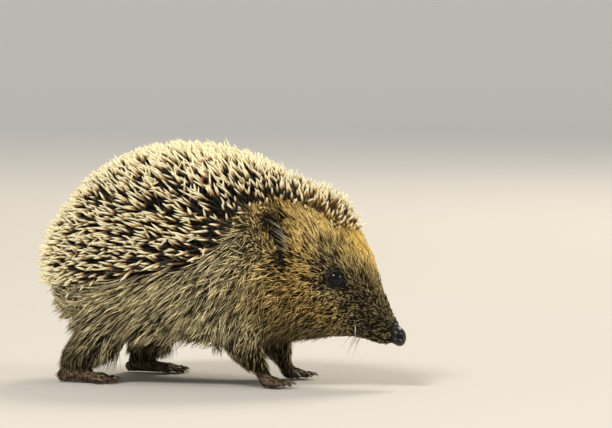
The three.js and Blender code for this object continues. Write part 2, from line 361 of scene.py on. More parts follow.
class Net:
    """The neighbours of every point of a mesh."""

    def __init__(self, mesh):
        self.a, self.b = rows_of(mesh.edges, "vertices", 2, np.int32).T
        self.count = len(mesh.vertices)
        self.degree = sum(np.bincount(end, minlength=self.count) for end in (self.a, self.b))

    def average(self, values):
        sums = [np.bincount(self.a, c[self.b], self.count) + np.bincount(self.b, c[self.a], self.count)
                for c in np.atleast_2d(values.T)]
        means = (np.array(sums) / np.maximum(self.degree, 1)).T
        return means if values.ndim > 1 else means[:, 0]

    def spread(self, values, rounds, weight=1.0):
        """Lets values run into their neighbours, a little further with each round."""
        if np.ndim(weight) == 1 and values.ndim > 1:
            weight = weight[:, None]
        for _ in range(rounds):
            values = values + (self.average(values) - values) * weight
        return values


EYES = {side: place_of(f"eye_{side}") for side in SIDES}
NOSE, _ = place_of("nose")
print("eyes:", [round(half[0] * 2, 1) for _, half in EYES.values()], "mm across")


# %% [markdown]
# ## One skin
# The solids part the animal where a person would name its parts. A real skin has no such seams.
# So copies of the solids of flesh are swelled a little until they overlap, and a voxel remesh
# turns them into one closed surface. The solid paws are too coarse for that, so the paws are
# built anew from balls, with a row of them for each toe. Sculpting by hand would do as well, but
# it can't follow the solids if they change.

# %% Paws
WRIST = {"forepaw": 2.1, "hind_foot": 1.0}  # the joint's distance ahead of the solid's back end
TOES = {
    "forepaw": {"x": 5.0, "out": 0.0, "span": 3.6, "lengths": (2.6, 4.0, 4.5, 4.0, 2.8)},
    "hind_foot": {"x": 15.2, "out": 0.9, "span": 3.7, "lengths": (3.2, 4.6, 5.0, 4.4, 3.2)},
}
TOE_FAN = 0.5  # radians between the middle toe and the outer one
TOE_CURVE = 1.6  # how far the outer toes start behind the middle one
TOE_AT = (0, 0.55, 1)
TOE_RADII = (1.15, 0.82, 0.92)  # at the root, past the middle and at the tip
TOE_BALLS = 8
TOE_HEIGHT = 1.5  # of the toe's root
TOE_ARCH = 0.45  # the toe bends up by this
TOE_DROP = 0.25  # and its pad lies this much lower than its root
PALMS = {  # balls ahead of the wrist: x, height, radii along, across and up
    "forepaw": ((-0.4, 4.4, 2.6, 2.7, 2.6), (1.6, 2.4, 3.0, 3.2, 2.3), (4.2, 1.8, 2.6, 3.9, 1.7)),
    "hind_foot": ((1.0, 2.6, 3.2, 2.8, 2.7), (5.0, 2.2, 4.5, 2.8, 2.2), (9.5, 2.1, 4.5, 3.3, 2.1),
                  (14.0, 1.9, 3.6, 4.1, 1.8)),
}


def wrist_of(part, side):
    low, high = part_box(f"{part}_{side}")
    return np.array([low.x / MM + WRIST[part], (low.y + high.y) / 2 / MM, 0.0])


def toe_lines(part, side):
    """Root, tip and way of each toe, from the inner to the outer one."""
    wrist, facts = wrist_of(part, side), TOES[part]
    for number, length in enumerate(facts["lengths"]):
        share = (number - 2) / 2
        way = np.array([math.cos(share * TOE_FAN), math.sin(share * TOE_FAN) * SIDES[side], 0.0])
        root = wrist + [facts["x"] - TOE_CURVE * share ** 2,
                        (facts["out"] + share * facts["span"]) * SIDES[side], TOE_HEIGHT]
        yield root, root + way * length, way


def add_ball(shape, centre, radii, segments=12):
    place = Matrix.Translation(Vector(centre) * MM) @ Matrix.Diagonal((*radii, 1.0))
    bmesh.ops.create_uvsphere(shape, u_segments=segments, v_segments=segments - 4, radius=MM,
                              matrix=place)


def add_paw(shape, part, side):
    wrist = wrist_of(part, side)
    for x, z, long, wide, tall in PALMS[part]:
        add_ball(shape, wrist + [x, 0, z], (long, wide, tall))
    for root, tip, way in toe_lines(part, side):
        length = np.linalg.norm(tip - root)
        for share in np.linspace(0, 1, TOE_BALLS):
            radius = np.interp(share, TOE_AT, TOE_RADII)
            rise = TOE_ARCH * math.sin(math.pi * share) - TOE_DROP * share
            add_ball(shape, root + way * length * share + [0, 0, rise], [radius] * 3, 10)


# %% Merge the flesh
SWELL = 0.22  # more than half the gap between two solids
SOCKET_FILL = 0.3
VOXEL = 0.75
FLESH = ["trunk", "neck", "head", "snout", "jaw", "nose", "tail"]
FLESH += [f"{part}_{side}" for side in SIDES for part in ("ear", "foreleg", "hind_leg")]
PAWS = [(part, side) for side in SIDES for part in PALMS]
OWNERS = FLESH + [f"{part}_{side}" for part, side in PAWS]  # every node that the skin stands for


def joined_copy(node, swell=0.0):
    """A solid's loose triangles, merged, and pushed out by `swell`."""
    shape = bmesh.new()
    shape.from_mesh(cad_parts[node].data)
    bmesh.ops.remove_doubles(shape, verts=shape.verts, dist=1e-6)
    shape.normal_update()
    for vert in shape.verts:
        vert.co += vert.normal * swell * MM
    return shape


def merge_flesh():
    """All the flesh in one mesh, still as overlapping shells."""
    whole = bmesh.new()
    for node in FLESH:
        part = joined_copy(node, SWELL)
        carrier = bpy.data.meshes.new(node)
        part.to_mesh(carrier)
        part.free()
        whole.from_mesh(carrier)
        bpy.data.meshes.remove(carrier)
    for centre, half in EYES.values():  # the eyeballs fill their sockets until the lids are shaped
        add_ball(whole, centre, half + SOCKET_FILL)
    for part, side in PAWS:
        add_paw(whole, part, side)
    return object_from("skin", whole, smooth=False)


def remeshed(source, voxel):
    """The object's surface rebuilt from cubes of one size, as a new mesh."""
    tool = source.modifiers.new("remesh", "REMESH")
    tool.mode = "VOXEL"
    tool.voxel_size = voxel * MM
    graph = bpy.context.evaluated_depsgraph_get()
    mesh = bpy.data.meshes.new_from_object(source.evaluated_get(graph))
    source.modifiers.clear()
    return mesh


skin = merge_flesh()
rough_mesh = skin.data
skin.data = remeshed(skin, VOXEL)
bpy.data.meshes.remove(rough_mesh)
print("skin:", len(skin.data.polygons), "faces")


# %% [markdown]
# ## More points where the detail is
# Lids, nostrils and lips need points closer together than the flanks do. The faces round them
# are split in four, up to three times, before the skin is smoothed. A finer remesh of the whole
# animal would spend most of its points under the spines.

# %% Refine
jaw_low, jaw_high = box_of("jaw")
MOUTH_CORNER = np.array([jaw_low[0], jaw_high[2]])  # in side view, x and z
MOUTH_LIP = np.array([jaw_high[0] - 1.0, jaw_low[2] + 0.9])
MOUTH_HALF = (8.5, 3.0)  # half the muzzle's width at the corner of the mouth and at the lip
MOUTH_RADIUS = 3.0
EYE_RADII = (7.2, 5.6, 4.4)  # each round splits the faces in a smaller ball
NOSE_RADII = (6.5, 5.0)


def refine(places):
    """Splits the faces inside each (centre, radius) ball."""
    shape = bmesh.new()
    shape.from_mesh(skin.data)
    inside = set()
    for centre, radius in places:
        middle = Vector(centre) * MM
        inside |= {v for v in shape.verts if (v.co - middle).length < radius * MM}
    edges = [e for e in shape.edges if e.verts[0] in inside and e.verts[1] in inside]
    bmesh.ops.subdivide_edges(shape, edges=edges, cuts=1, use_grid_fill=True)
    bmesh.ops.triangulate(shape, faces=[f for f in shape.faces if len(f.verts) > 4])
    shape.to_mesh(skin.data)
    shape.free()


def mouth_balls():
    for share in np.linspace(0, 1, 9):
        x, z = MOUTH_CORNER + (MOUTH_LIP - MOUTH_CORNER) * share
        half = np.interp(share, (0, 1), MOUTH_HALF)
        for sign in SIDES.values():
            yield (x, half * sign, z), MOUTH_RADIUS


for step, eye_radius in enumerate(EYE_RADII):
    balls = [(centre, eye_radius) for centre, _ in EYES.values()]
    balls += [(NOSE, radius) for radius in NOSE_RADII[step:step + 1]]
    if step == 0:
        balls += mouth_balls()
    refine(balls)
print("skin: refined to", len(skin.data.polygons), "faces")

# %% [markdown]
# ## Which part is which
# The skin has to know where it is: under the spines, on an ear, or on a paw. Each of its points
# asks for the nearest solid. Names painted by hand would be lost with each new remesh.

# %% Owners
def search_tree(nodes):
    """One search tree over several solids, and the number of the solid of each of its faces."""
    verts, faces, owner = [], [], []
    for number, node in enumerate(nodes):
        shape = joined_copy(node)
        shape.verts.index_update()
        start = len(verts)
        verts += [v.co / MM for v in shape.verts]
        faces += [[start + v.index for v in f.verts] for f in shape.faces]
        owner += [number] * len(shape.faces)
        shape.free()
    return BVHTree.FromPolygons(verts, faces), np.array(owner)


def nearest_faces(tree, places):
    """The number of the tree's nearest face to each place."""
    return np.array([tree.find_nearest(Vector(place))[2] for place in places])


flesh_tree, flesh_owner = search_tree(OWNERS)
mantle_tree, _ = search_tree(["mantle"])
points = points_of(skin.data)
owner = flesh_owner[nearest_faces(flesh_tree, points)]


def owned_by(*parts):
    """1 where a point belongs to one of the parts, on either side of the body."""
    names = {part + end for part in parts for end in ("", "_left", "_right")}
    numbers = [number for number, name in enumerate(OWNERS) if name in names]
    return np.isin(owner, numbers).astype(float)


COVER_REACH = 5.0  # a point is under the spines if the mantle is this near, straight out of the skin
COVER_START = 0.5  # the search starts this far inside the skin


def covered(point, way):
    start = Vector(point - way * COVER_START)
    return mantle_tree.ray_cast(start, Vector(way), COVER_REACH)[0] is not None


spiny = np.array([covered(point, way) for point, way in zip(points, normals_of(skin.data))])
spiny = spiny * owned_by("trunk", "neck", "head")  # 1 under the spines, 0 elsewhere
print("under the spines:", round(spiny.mean() * 100), "% of the skin")

# %% [markdown]
# ## Down to the skin
# The solids run to the tips of the coat, so the skin is sunk by the depth of the hair: deep on
# the flanks, thin on the face, almost nothing on the paws. Facets vanish when the points are
# averaged with their neighbours, and small parts are averaged less so that they keep their form.

# %% Sink and smooth
COAT_DEPTH = {
    "trunk": 3.4, "neck": 2.6, "head": 1.3, "snout": 0.55, "jaw": 0.4, "nose": 0.0, "tail": 0.1,
    "ear": 0.15, "foreleg": 1.3, "hind_leg": 1.6, "forepaw": 0.05, "hind_foot": 0.05,
}
SPINE_BED = 0.8  # depth of the skin under the mantle
SOLE_LEVEL = 0.02
SINK_STEPS = 4
SOFTNESS = {  # how much each part is averaged with its neighbours
    "trunk": 1.0, "neck": 1.0, "head": 0.45, "snout": 0.25, "jaw": 0.2, "nose": 0.8, "tail": 0.3,
    "ear": 0.06, "foreleg": 0.35, "hind_leg": 0.4, "forepaw": 0.06, "hind_foot": 0.06,
}
ROUNDS = {"border": 6, "depth": 24, "facets": 60, "sinking": 4}  # how often each is averaged


def by_owner(table):
    """Each point's value in a table of parts."""
    return sum(owned_by(part) * value for part, value in table.items())


net = Net(skin.data)
spiny = net.spread(spiny, ROUNDS["border"])
depth = net.spread(np.where(spiny > 0.5, SPINE_BED, by_owner(COAT_DEPTH)), ROUNDS["depth"])
softness = net.spread(by_owner(SOFTNESS), ROUNDS["border"])
points = net.spread(points, ROUNDS["facets"], softness)
for _ in range(SINK_STEPS):
    put_points(skin.data, points)
    points = points - normals_of(skin.data) * (depth / SINK_STEPS)[:, None]
    points = net.spread(points, ROUNDS["sinking"], softness)
points[:, 2] = np.maximum(points[:, 2], SOLE_LEVEL)  # the soles stay flat on the floor
put_points(skin.data, points)
print("skin: sunk by", round(depth.min(), 1), "to", round(depth.max(), 1), "mm")


# %% [markdown]
# ## Lids
# The lids of a hedgehog are a dark bare ring, tight round a bead of an eye. Each point near the
# eye is set on a ball just wider than the eyeball, and inside the opening it drops behind it, so
# that the edge of the lid is real. A ring modelled apart would leave a seam in the face.

# %% Lids
LID_OPENING = 2.8  # half the width of what shows of the eye
LID_OVAL = (1.05, 0.95)  # the opening's width and height, as shares of that
LID_THICKNESS = 0.22
LID_EDGE = 0.3  # over this the lid turns in
LID_REACH = (3.2, 5.0)  # the lid runs into the face between these
LID_BARE = (2.9, 3.7)  # and its bare skin into the hair between these
LID_REST = 0.7  # inside the opening the skin follows a ball this much smaller than the eye
LID_SINK = 0.3  # and this much further in
FOLD = {"out": 4.1, "wide": 0.32, "deep": 0.32}  # round the upper lid
RIDGE = {"inside": 0.75, "wide": 0.4, "high": 0.18}  # between the fold and the upper lid
UPPER = (-1.0, 1.5)  # from the lower half of the eye to the upper one
SOCKET = 5.5  # the skin within this of the eye's middle says which way the eye looks
EYE_UPRIGHT = (-0.45, 0, 1.0)  # the slope of the forehead at the eye
FACE_REACH = (7.5, -3)  # how far the lids reach round the eye, and how deep


def eye_frame(side):
    """Middle, radius, and the directions out of the eye, ahead along the face and over it."""
    centre, half = EYES[side]
    close = np.linalg.norm(points - centre, axis=1) < SOCKET
    out = unit(normals_of(skin.data)[close].mean(0))
    ahead = unit(np.cross(out, unit(np.array(EYE_UPRIGHT))) * -SIDES[side])
    ahead = ahead * np.sign(ahead[0])
    over = np.cross(out, ahead)
    return centre, half[0], out, ahead, over * np.sign(over[2])


def shape_lids(side):
    """Shapes both lids of an eye, and says how bare each point is."""
    centre, radius, out, ahead, over = eye_frame(side)
    offset = points - centre
    height, along, across = offset @ out, offset @ ahead, offset @ over
    reach = np.hypot(along, across)
    near = (reach < FACE_REACH[0]) & (height > FACE_REACH[1])
    oval = np.hypot(along / LID_OVAL[0], across / LID_OVAL[1])
    lid = np.sqrt(np.maximum((radius + LID_THICKNESS) ** 2 - reach ** 2, 0))
    behind = np.sqrt(np.maximum((radius - LID_REST) ** 2 - reach ** 2, 0)) - LID_SINK
    lid = np.where(reach > radius, height, lid)
    shaped = behind + (lid - behind) * smoothstep(LID_OPENING - LID_EDGE, LID_OPENING, oval)
    shaped = shaped + (height - shaped) * smoothstep(*LID_REACH, oval)
    upper = smoothstep(*UPPER, across)
    from_fold = oval - FOLD["out"]
    shaped = shaped - FOLD["deep"] * upper * np.exp(-(from_fold / FOLD["wide"]) ** 2)
    from_ridge = from_fold + RIDGE["inside"]
    shaped = shaped + RIDGE["high"] * upper * np.exp(-(from_ridge / RIDGE["wide"]) ** 2)
    points[near] += (shaped - height)[near, None] * out
    return near * (1 - smoothstep(*LID_BARE, oval))


lid_mask = shape_lids("left") + shape_lids("right")
put_points(skin.data, points)
print("lids:", int((lid_mask > 0.5).sum()), "points")

# %% [markdown]
# ## Nose
# The tip of the snout is a bare wet pad. Its nostrils are pits that open forward and to the
# side and run out in a slit, and a cleft parts it in the middle. All are pressed into the skin
# by moving its points, which cutting with another shape couldn't do without breaking the mesh.

# %% Nose
NOSTRIL = {"ahead": 1.1, "apart": 2.45, "up": -0.1, "radius": 1.35, "depth": 1.5}
SLIT = {"ahead": -0.3, "apart": 2.9, "up": 0.1, "radius": 0.8, "depth": 0.6}
CLEFT = {"half": 0.4, "depth": 0.42, "ahead": (1.0, 2.0), "below": (0.6, 1.4)}
NOSE_REACH = 6  # the nose is within this of its middle, along every axis
PAD_BACK = -1.3  # the bare pad ends this far behind the nose's middle
PAD_CREASE = {"half": 0.35, "depth": 0.12}  # round the end of the pad
PAD_FADE = 0.3
BLUNTNESS = 0.72  # how much of its bulge the front of the nose keeps
PIT_POWER = 0.7  # the pits are steep at their rims and round at the bottom
PIT_WAY = (-0.7, -1, 0.1)  # into the left half of the nose


def press(hole, side):
    """How a hole in the nose moves the points near its middle."""
    centre = NOSE + [hole["ahead"], side * hole["apart"], hole["up"]]
    share = np.clip(1 - np.linalg.norm(points - centre, axis=1) / hole["radius"], 0, 1)
    return (share ** PIT_POWER * hole["depth"])[:, None] * unit(np.array(PIT_WAY) * [1, side, 1])


def shape_nose():
    """Shapes the nose, and says how bare each point is."""
    global points
    moved = sum(press(hole, side) for side in SIDES.values() for hole in (NOSTRIL, SLIT))
    offset = points - NOSE
    on_nose = np.abs(offset).max(1) < NOSE_REACH
    moved[:, 0] -= np.maximum(offset[:, 0], 0) * on_nose * (1 - BLUNTNESS)
    front = smoothstep(*CLEFT["ahead"], offset[:, 0]) * (1 - smoothstep(*CLEFT["below"], offset[:, 2]))
    cleft = np.clip(1 - (offset[:, 1] / CLEFT["half"]) ** 2, 0, 1) * front
    moved[:, 0] -= cleft * CLEFT["depth"]
    ring = np.exp(-((offset[:, 0] - PAD_BACK) / PAD_CREASE["half"]) ** 2) * on_nose
    points = points + moved - normals_of(skin.data) * (ring * PAD_CREASE["depth"])[:, None]
    return smoothstep(PAD_BACK - PAD_FADE, PAD_BACK + PAD_FADE, offset[:, 0]) * on_nose


nose_mask = shape_nose()
print("nose:", int((nose_mask > 0.5).sum()), "points")

# %% [markdown]
# ## Mouth and ear fold
# The mouth is shut, so it shows as a thin groove along the muzzle. From the hollow of each ear
# a fold of skin runs down behind the cheek. The hair thins there, and the fold is painted dark with
# the mask's colour on skin and hair: a painted shade in the fold. Both are lines
# in side view, and every point near a line is pressed in by how near it is.

# %% Mouth and ear fold
LIP_GROOVE = {"half": 0.3, "depth": 0.45, "fade": 0.12}
# From the ear's hollow down to the cheek: x, z and half the width of the fold.
EAR_CREASE = ((27.4, 58.2, 3.0), (28.4, 53.0, 2.5), (30.2, 47.0, 1.7), (31.6, 40.5, 1.3))
CREASE_DEPTH = 2.0
CREASE_INSIDE = 14  # the head has no fold nearer its middle than this
FAR = 99.0


def beside_line(start, end):
    """In side view, how far each point is along a line, from 0 to 1, and how far off it."""
    line = np.subtract(end, start)
    flat = points[:, [0, 2]] - start
    share = np.clip(flat @ line / (line @ line), 0, 1)
    return share, np.linalg.norm(flat - share[:, None] * line, axis=1)


def shape_mouth():
    """Presses the closed mouth's line into both sides of the muzzle."""
    global points
    share, gap = beside_line(MOUTH_CORNER, MOUTH_LIP)
    fade = smoothstep(0.0, LIP_GROOVE["fade"], share)
    groove = LIP_GROOVE["depth"] * np.exp(-(gap / LIP_GROOVE["half"]) ** 2) * fade
    groove = groove * owned_by("head", "snout", "jaw")
    points = points - normals_of(skin.data) * groove[:, None]


def shape_ear_crease():
    """Presses the fold below each ear. Returns where it is, and where its borders are."""
    global points
    gap = np.full(len(points), FAR)
    for (*start, wide), (*end, narrow) in zip(EAR_CREASE, EAR_CREASE[1:]):
        share, off = beside_line(start, end)
        gap = np.minimum(gap, off / (wide + (narrow - wide) * share))
    gap[np.abs(points[:, 1]) < CREASE_INSIDE] = FAR
    fold = np.exp(-gap ** 2) * owned_by("head", "neck")
    points = points - normals_of(skin.data) * (fold * CREASE_DEPTH)[:, None]
    return net.spread(np.exp(-gap ** 4), 2), np.exp(-(gap / 2.0) ** 2)


shape_mouth()
ear_fold_and_shade, by_crease = shape_ear_crease()
put_points(skin.data, points)
print("ear folds:", int((ear_fold_and_shade > 0.5).sum()), "points")

# %% [markdown]
# ## A groomer's guide hairs
# Nobody combs a coat hair by hair. A groomer lays a few guide hairs and every other hair takes
# after its neighbours. Each guide below says where it grows on the left side, which way the
# hair lies there, how long it is, how far it lifts off the skin, how untidy it is, and what
# shade it has. The right side is its mirror image. The same guides colour skin and coat, so the
# markings agree.

# %% Guides
SHADES = ("forehead", "mask", "under", "cheek", "flank")
# place x, y, z; reach; lie x, y, z; length; lift and mess in degrees; shade
GUIDES = (
    ((-50, 22, 30), 9, (-1, 0, -0.08), 16, 10, 9, "flank"),
    ((-46, 20, 20), 8, (-1, 0, -0.3), 11, 14, 14, "flank"),
    ((-60, 0, 27), 9, (-0.9, 0, -0.4), 11, 16, 14, "flank"),
    ((-30, 30, 34), 9, (-0.95, 0, -0.2), 13, 9, 12, "flank"),
    ((-30, 26, 20), 9, (-0.8, 0, -0.55), 13, 12, 12, "flank"),
    ((-10, 33, 36), 9, (-0.85, 0, -0.42), 13, 9, 14, "flank"),
    ((-10, 30, 22), 9, (-0.65, 0, -0.8), 14, 11, 12, "flank"),
    ((5, 32, 38), 8, (-0.8, 0, -0.6), 11, 11, 20, "flank"),
    ((5, 29, 22), 8, (-0.5, 0, -0.9), 13, 12, 14, "flank"),
    ((-28, 25, 17), 7, (-0.7, 0.1, -0.75), 14, 18, 12, "flank"),
    ((-12, 26, 17), 7, (-0.5, 0.1, -1), 15, 18, 12, "flank"),
    ((4, 24, 17), 7, (-0.35, 0.1, -1), 14, 18, 14, "flank"),
    ((-10, 0, 12), 14, (-1, 0, -0.1), 7, 10, 18, "under"),
    ((14, 27, 48), 7, (-0.85, 0, -0.35), 7, 16, 34, "flank"),
    ((15, 26, 36), 7, (-0.6, 0, -0.75), 8, 15, 32, "flank"),
    ((16, 24, 24), 7, (-0.4, 0, -0.95), 9, 15, 24, "flank"),
    ((26, 8, 17), 9, (-0.75, 0.2, -0.5), 7.5, 26, 24, "under"),
    ((21, 24, 36), 5, (-0.7, 0, -0.65), 7, 15, 30, "cheek"),
    ((28, 20, 24), 6, (-0.7, 0, -0.7), 6.5, 19, 30, "cheek"),
    ((34, 18, 31), 6, (-0.85, 0, -0.5), 4.2, 18, 36, "cheek"),
    ((42, 13, 25), 5, (-0.9, 0, -0.4), 3.2, 18, 36, "cheek"),
    ((34, 19, 40), 6, (-0.85, 0, 0.2), 4.6, 18, 30, "cheek"),
    ((34, 17, 51), 6, (-0.6, 0.1, 0.8), 6, 18, 18, "cheek"),
    ((27, 17, 60), 5, (-0.6, 0, 0.8), 6, 20, 20, "cheek"),
    ((40, 11, 52), 4.8, (-0.35, 0, 0.95), 8.5, 17, 14, "forehead"),
    ((46, 0, 50), 7, (-0.5, 0, 0.85), 9, 30, 12, "forehead"),
    ((52, 0, 42), 5, (-0.45, 0, 0.9), 7.5, 34, 12, "forehead"),
    ((56.5, 0, 36), 3.8, (-0.5, 0, 0.85), 5.5, 34, 14, "forehead"),
    ((51, 7, 43), 3.6, (-0.5, 0.1, 0.85), 5.5, 14, 14, "forehead"),
    ((53.5, 6.5, 36), 2.8, (-0.7, 0.1, 0.5), 2, 12, 18, "mask"),
    ((57, 4, 31), 3, (-0.7, 0.1, 0.5), 1.8, 12, 18, "mask"),
    ((46, 12, 43), 3, (-0.7, 0.1, 0.6), 2.4, 12, 15, "mask"),
    ((46, 13, 37), 3.6, (-0.8, 0.1, 0.3), 1.4, 12, 15, "mask"),
    ((51, 9, 35), 4, (-0.8, 0.1, 0.4), 1.8, 12, 20, "mask"),
    ((54, 8, 28), 4.5, (-0.9, 0.1, 0.1), 1.6, 12, 24, "mask"),
    ((55, 6, 21), 4, (-0.95, 0.1, 0.1), 1.5, 12, 24, "mask"),
    ((47, 11.5, 27), 3.6, (-0.9, 0, -0.3), 2.6, 17, 38, "cheek"),
    ((46, 10.5, 21), 3.6, (-0.9, 0.1, -0.4), 3, 16, 32, "cheek"),
    ((40, 8, 16), 4.5, (-0.85, 0.2, -0.45), 5, 24, 26, "under"),
    ((60, 5, 22), 5, (-0.95, 0.1, 0.15), 1.9, 14, 24, "mask"),
    ((61, 0, 27), 4.5, (-0.9, 0, 0.35), 2.2, 17, 20, "under"),
    ((52, 3, 17), 5, (-0.95, 0, -0.15), 2.0, 12, 20, "under"),
    ((15, 17, 10), 6, (-0.1, 0, -1), 3, 12, 18, "under"),
    ((-38, 21, 11), 8, (-0.2, 0, -1), 3.2, 12, 18, "under"),
    ((25, 17, 2), 5, (1, 0, -0.2), 1.2, 10, 14, "under"),
    ((-38, 22, 2), 7, (1, 0, -0.2), 1.3, 10, 14, "under"),
    ((27, 24, 55), 4, (-0.1, 0.1, 1), 2.2, 12, 18, "cheek"),
)


LIE_SHARPNESS = 1.6  # how strongly a hair takes after the very nearest guide
SHADE_SHARPNESS = 0.9  # the same for its shade, which changes more softly


def guide_weights(places, guides, sharpness=1.0):
    """How much each guide counts at each place. The guides stand for both sides of the body."""
    mirrored = places.copy()
    mirrored[:, 1] = np.abs(places[:, 1])
    stations = np.array([guide[0] for guide in guides], float)
    reach = np.array([guide[1] for guide in guides], float)
    gap = np.linalg.norm(mirrored[:, None] - stations, axis=2) / reach
    return np.exp(-0.5 * (gap ** 2 - gap.min(1, keepdims=True) ** 2) * sharpness)


def guided_way(places, guides, weight):
    """The way that the guides point at each place."""
    way = weight @ unit(np.array([guide[2] for guide in guides], float))
    way[:, 1] *= np.where(places[:, 1] < 0, -1.0, 1.0)
    return unit(way)


class Groom:
    """What the guide hairs say at each of many places."""

    def __init__(self, places):
        weight = guide_weights(places, GUIDES, LIE_SHARPNESS)
        weight /= weight.sum(1, keepdims=True)
        soft = guide_weights(places, GUIDES, SHADE_SHARPNESS)
        soft /= soft.sum(1, keepdims=True)
        self.lie = guided_way(places, GUIDES, weight)
        self.length, self.lift, self.mess = (
            weight @ np.array([guide[number] for guide in GUIDES], float) for number in (3, 4, 5))
        self.shades = np.array([soft @ np.array([guide[6] == shade for guide in GUIDES], float)
                                for shade in SHADES]).T


skin_groom = Groom(points)
print("guides:", len(GUIDES))

# %% [markdown]
# ## Bare and long
# Hair isn't the same all over. It stays short round the ears and the tail, hangs long in a
# fringe along the lower flank and the throat, and leaves nose, lids, soles and the ear's hollow
# bare. Each point of the skin carries these as shares from 0 to 1, which run softly into each
# other, as hair has no hard border.

# %% Shares of the skin
SOLE_TOP = (0.7, 1.3)  # the bare sole ends between these heights
CUPPED = (0.02, 0.16)  # how far the skin dips, from the flat of the ear to its hollow
HOLLOW_BACK = (22.8, 60.7)  # x and z of the back end of the ear's hollow
HOLLOW_LEAN = 0.28  # the rim behind it leans forward by this much of its fall
HOLLOW_FADE = 0.7
EAR_TRIM = 1.6
TRIM = 0.72  # the share of its length that hair loses at the ears, the tail and the folds
FRINGE_TOP = (18, 26)  # the fringe ends between these heights
FRINGE_OUT = (15, 22)  # and between these distances from the body's middle
THROAT_SLOPE = (0.1, 0.6)  # how far the skin faces down, from the cheek to the throat
THROAT_FRONT = (36, 46)
THROAT_SHARE = 0.5

triangles = triangles_of(skin.data)
skin_normals = normals_of(skin.data)
across, height = np.abs(points[:, 1]), points[:, 2]

soles = owned_by("forepaw", "hind_foot") * (1 - smoothstep(*SOLE_TOP, height))
bare = np.clip(net.spread(np.maximum.reduce([nose_mask * 1.0, lid_mask, soles]), 1), 0, 1)

cupped = ((net.spread(points, 12) - points) * skin_normals).sum(1)
before_rim = points[:, 0] - (HOLLOW_BACK[0] + HOLLOW_LEAN * (HOLLOW_BACK[1] - height))
in_front = smoothstep(-HOLLOW_FADE, HOLLOW_FADE, before_rim)
# The cupped front of each ear, found by how far the skin dips: its hair is thinned, and its skin is painted
# near black, a painted shade in the hollow.
ear_cup_bared_and_shaded = owned_by("ear") * smoothstep(*CUPPED, cupped) * in_front

by_ear = np.clip(net.spread(owned_by("ear"), 10) * EAR_TRIM, 0, 1)
by_tail = net.spread(owned_by("tail"), 4)
trimmed = 1 - TRIM * np.maximum.reduce([by_ear, by_tail, by_crease])

fringe = owned_by("trunk") * (1 - smoothstep(*FRINGE_TOP, height)) * smoothstep(*FRINGE_OUT, across)
throat = owned_by("neck", "head") * smoothstep(*THROAT_SLOPE, -skin_normals[:, 2])
throat = throat * (1 - smoothstep(*THROAT_FRONT, points[:, 0]))
fringe = np.maximum(fringe, THROAT_SHARE * net.spread(throat, 4))
print("bare:", round(bare.mean() * 100), "%, fringe:", round(fringe.mean() * 100), "% of the skin's points")

# %% [markdown]
# ## Roots
# A root is a random place on the skin. Faces are drawn by their area, times how thickly hair
# grows there, and the root falls anywhere inside the face.

# %% Roots
edge_a = points[triangles[:, 1]] - points[triangles[:, 0]]
edge_b = points[triangles[:, 2]] - points[triangles[:, 0]]
face_area = np.linalg.norm(np.cross(edge_a, edge_b), axis=1) / 2
skin_tree = BVHTree.FromPolygons([Vector(p) for p in points], triangles.tolist())


class Roots:
    """Many places on the skin, with the values that the skin's points carry there."""

    def __init__(self, corners, share):
        self.corners = corners
        self.share = share
        self.place = self.carry(points)
        self.normal = unit(self.carry(skin_normals))

    def carry(self, values):
        """What the places have of a value that each point of the skin has."""
        picked = values[self.corners]
        share = self.share if picked.ndim == 2 else self.share[:, :, None]
        return (picked * share).sum(1)

    def only(self, kept):
        return Roots(self.corners[kept], self.share[kept])


def scatter(count, thickness, draw):
    """Random roots, as thick as `thickness` says at each point of the skin."""
    chance = face_area * thickness[triangles].mean(1)
    face = draw.choice(len(triangles), count, p=chance / chance.sum())
    a, b = draw.random(count), draw.random(count)
    fold = a + b > 1
    a, b = np.where(fold, 1 - a, a), np.where(fold, 1 - b, b)
    return Roots(triangles[face], np.stack([1 - a - b, a, b], 1))


def spaced(roots, gap):
    """The roots that keep at least `gap` from every earlier one."""
    cells, kept = {}, []
    for number, place in enumerate(roots.place):
        cell = tuple((place // gap).astype(int))
        close = [p for dx in (-1, 0, 1) for dy in (-1, 0, 1) for dz in (-1, 0, 1)
                 for p in cells.get((cell[0] + dx, cell[1] + dy, cell[2] + dz), ())]
        if all(((p - place) ** 2).sum() > gap * gap for p in close):
            cells.setdefault(cell, []).append(place)
            kept.append(number)
    return roots.only(np.array(kept))


print("skin:", len(triangles), "triangles,", round(face_area.sum() / 100), "square centimetres")

# %% [markdown]
# ## An unwrap for the roots
# When the colours are baked, each tuft keeps its own small patch of the picture, at its root's
# place on the unwrapped skin. A coarse copy of the skin is enough to say where that is. Each
# piece of coat gets an unwrap of just its own part of the skin, so that it fills the square.

# %% Unwrap
CAGE_VOXEL = 2.0
PATCH = 0.003  # width of a tuft's patch
UNWRAP_ANGLE = math.radians(66)

cage = new_object("cage", skin.data.copy())
cage.data = remeshed(cage, CAGE_VOXEL)
cage_points = points_of(cage.data)
cage_triangles = triangles_of(cage.data)
cage_tree = BVHTree.FromPolygons([Vector(p) for p in cage_points], cage_triangles.tolist())
bpy.data.objects.remove(cage)


def corner_shares(corners, places):
    """How much each corner of a triangle counts at a place on it, kept inside the triangle."""
    a, b, c = (corners[:, i] for i in range(3))
    ab, ac, ap = b - a, c - a, places - a
    pairs = ((ab, ab), (ab, ac), (ac, ac), (ap, ab), (ap, ac))
    d = [(first * second).sum(1) for first, second in pairs]
    below = np.maximum(d[0] * d[2] - d[1] ** 2, 1e-9)
    v = np.clip((d[2] * d[3] - d[1] * d[4]) / below, 0, 1)
    w = np.clip((d[0] * d[4] - d[1] * d[3]) / below, 0, 1 - v)
    return np.stack([1 - v - w, v, w], 1)


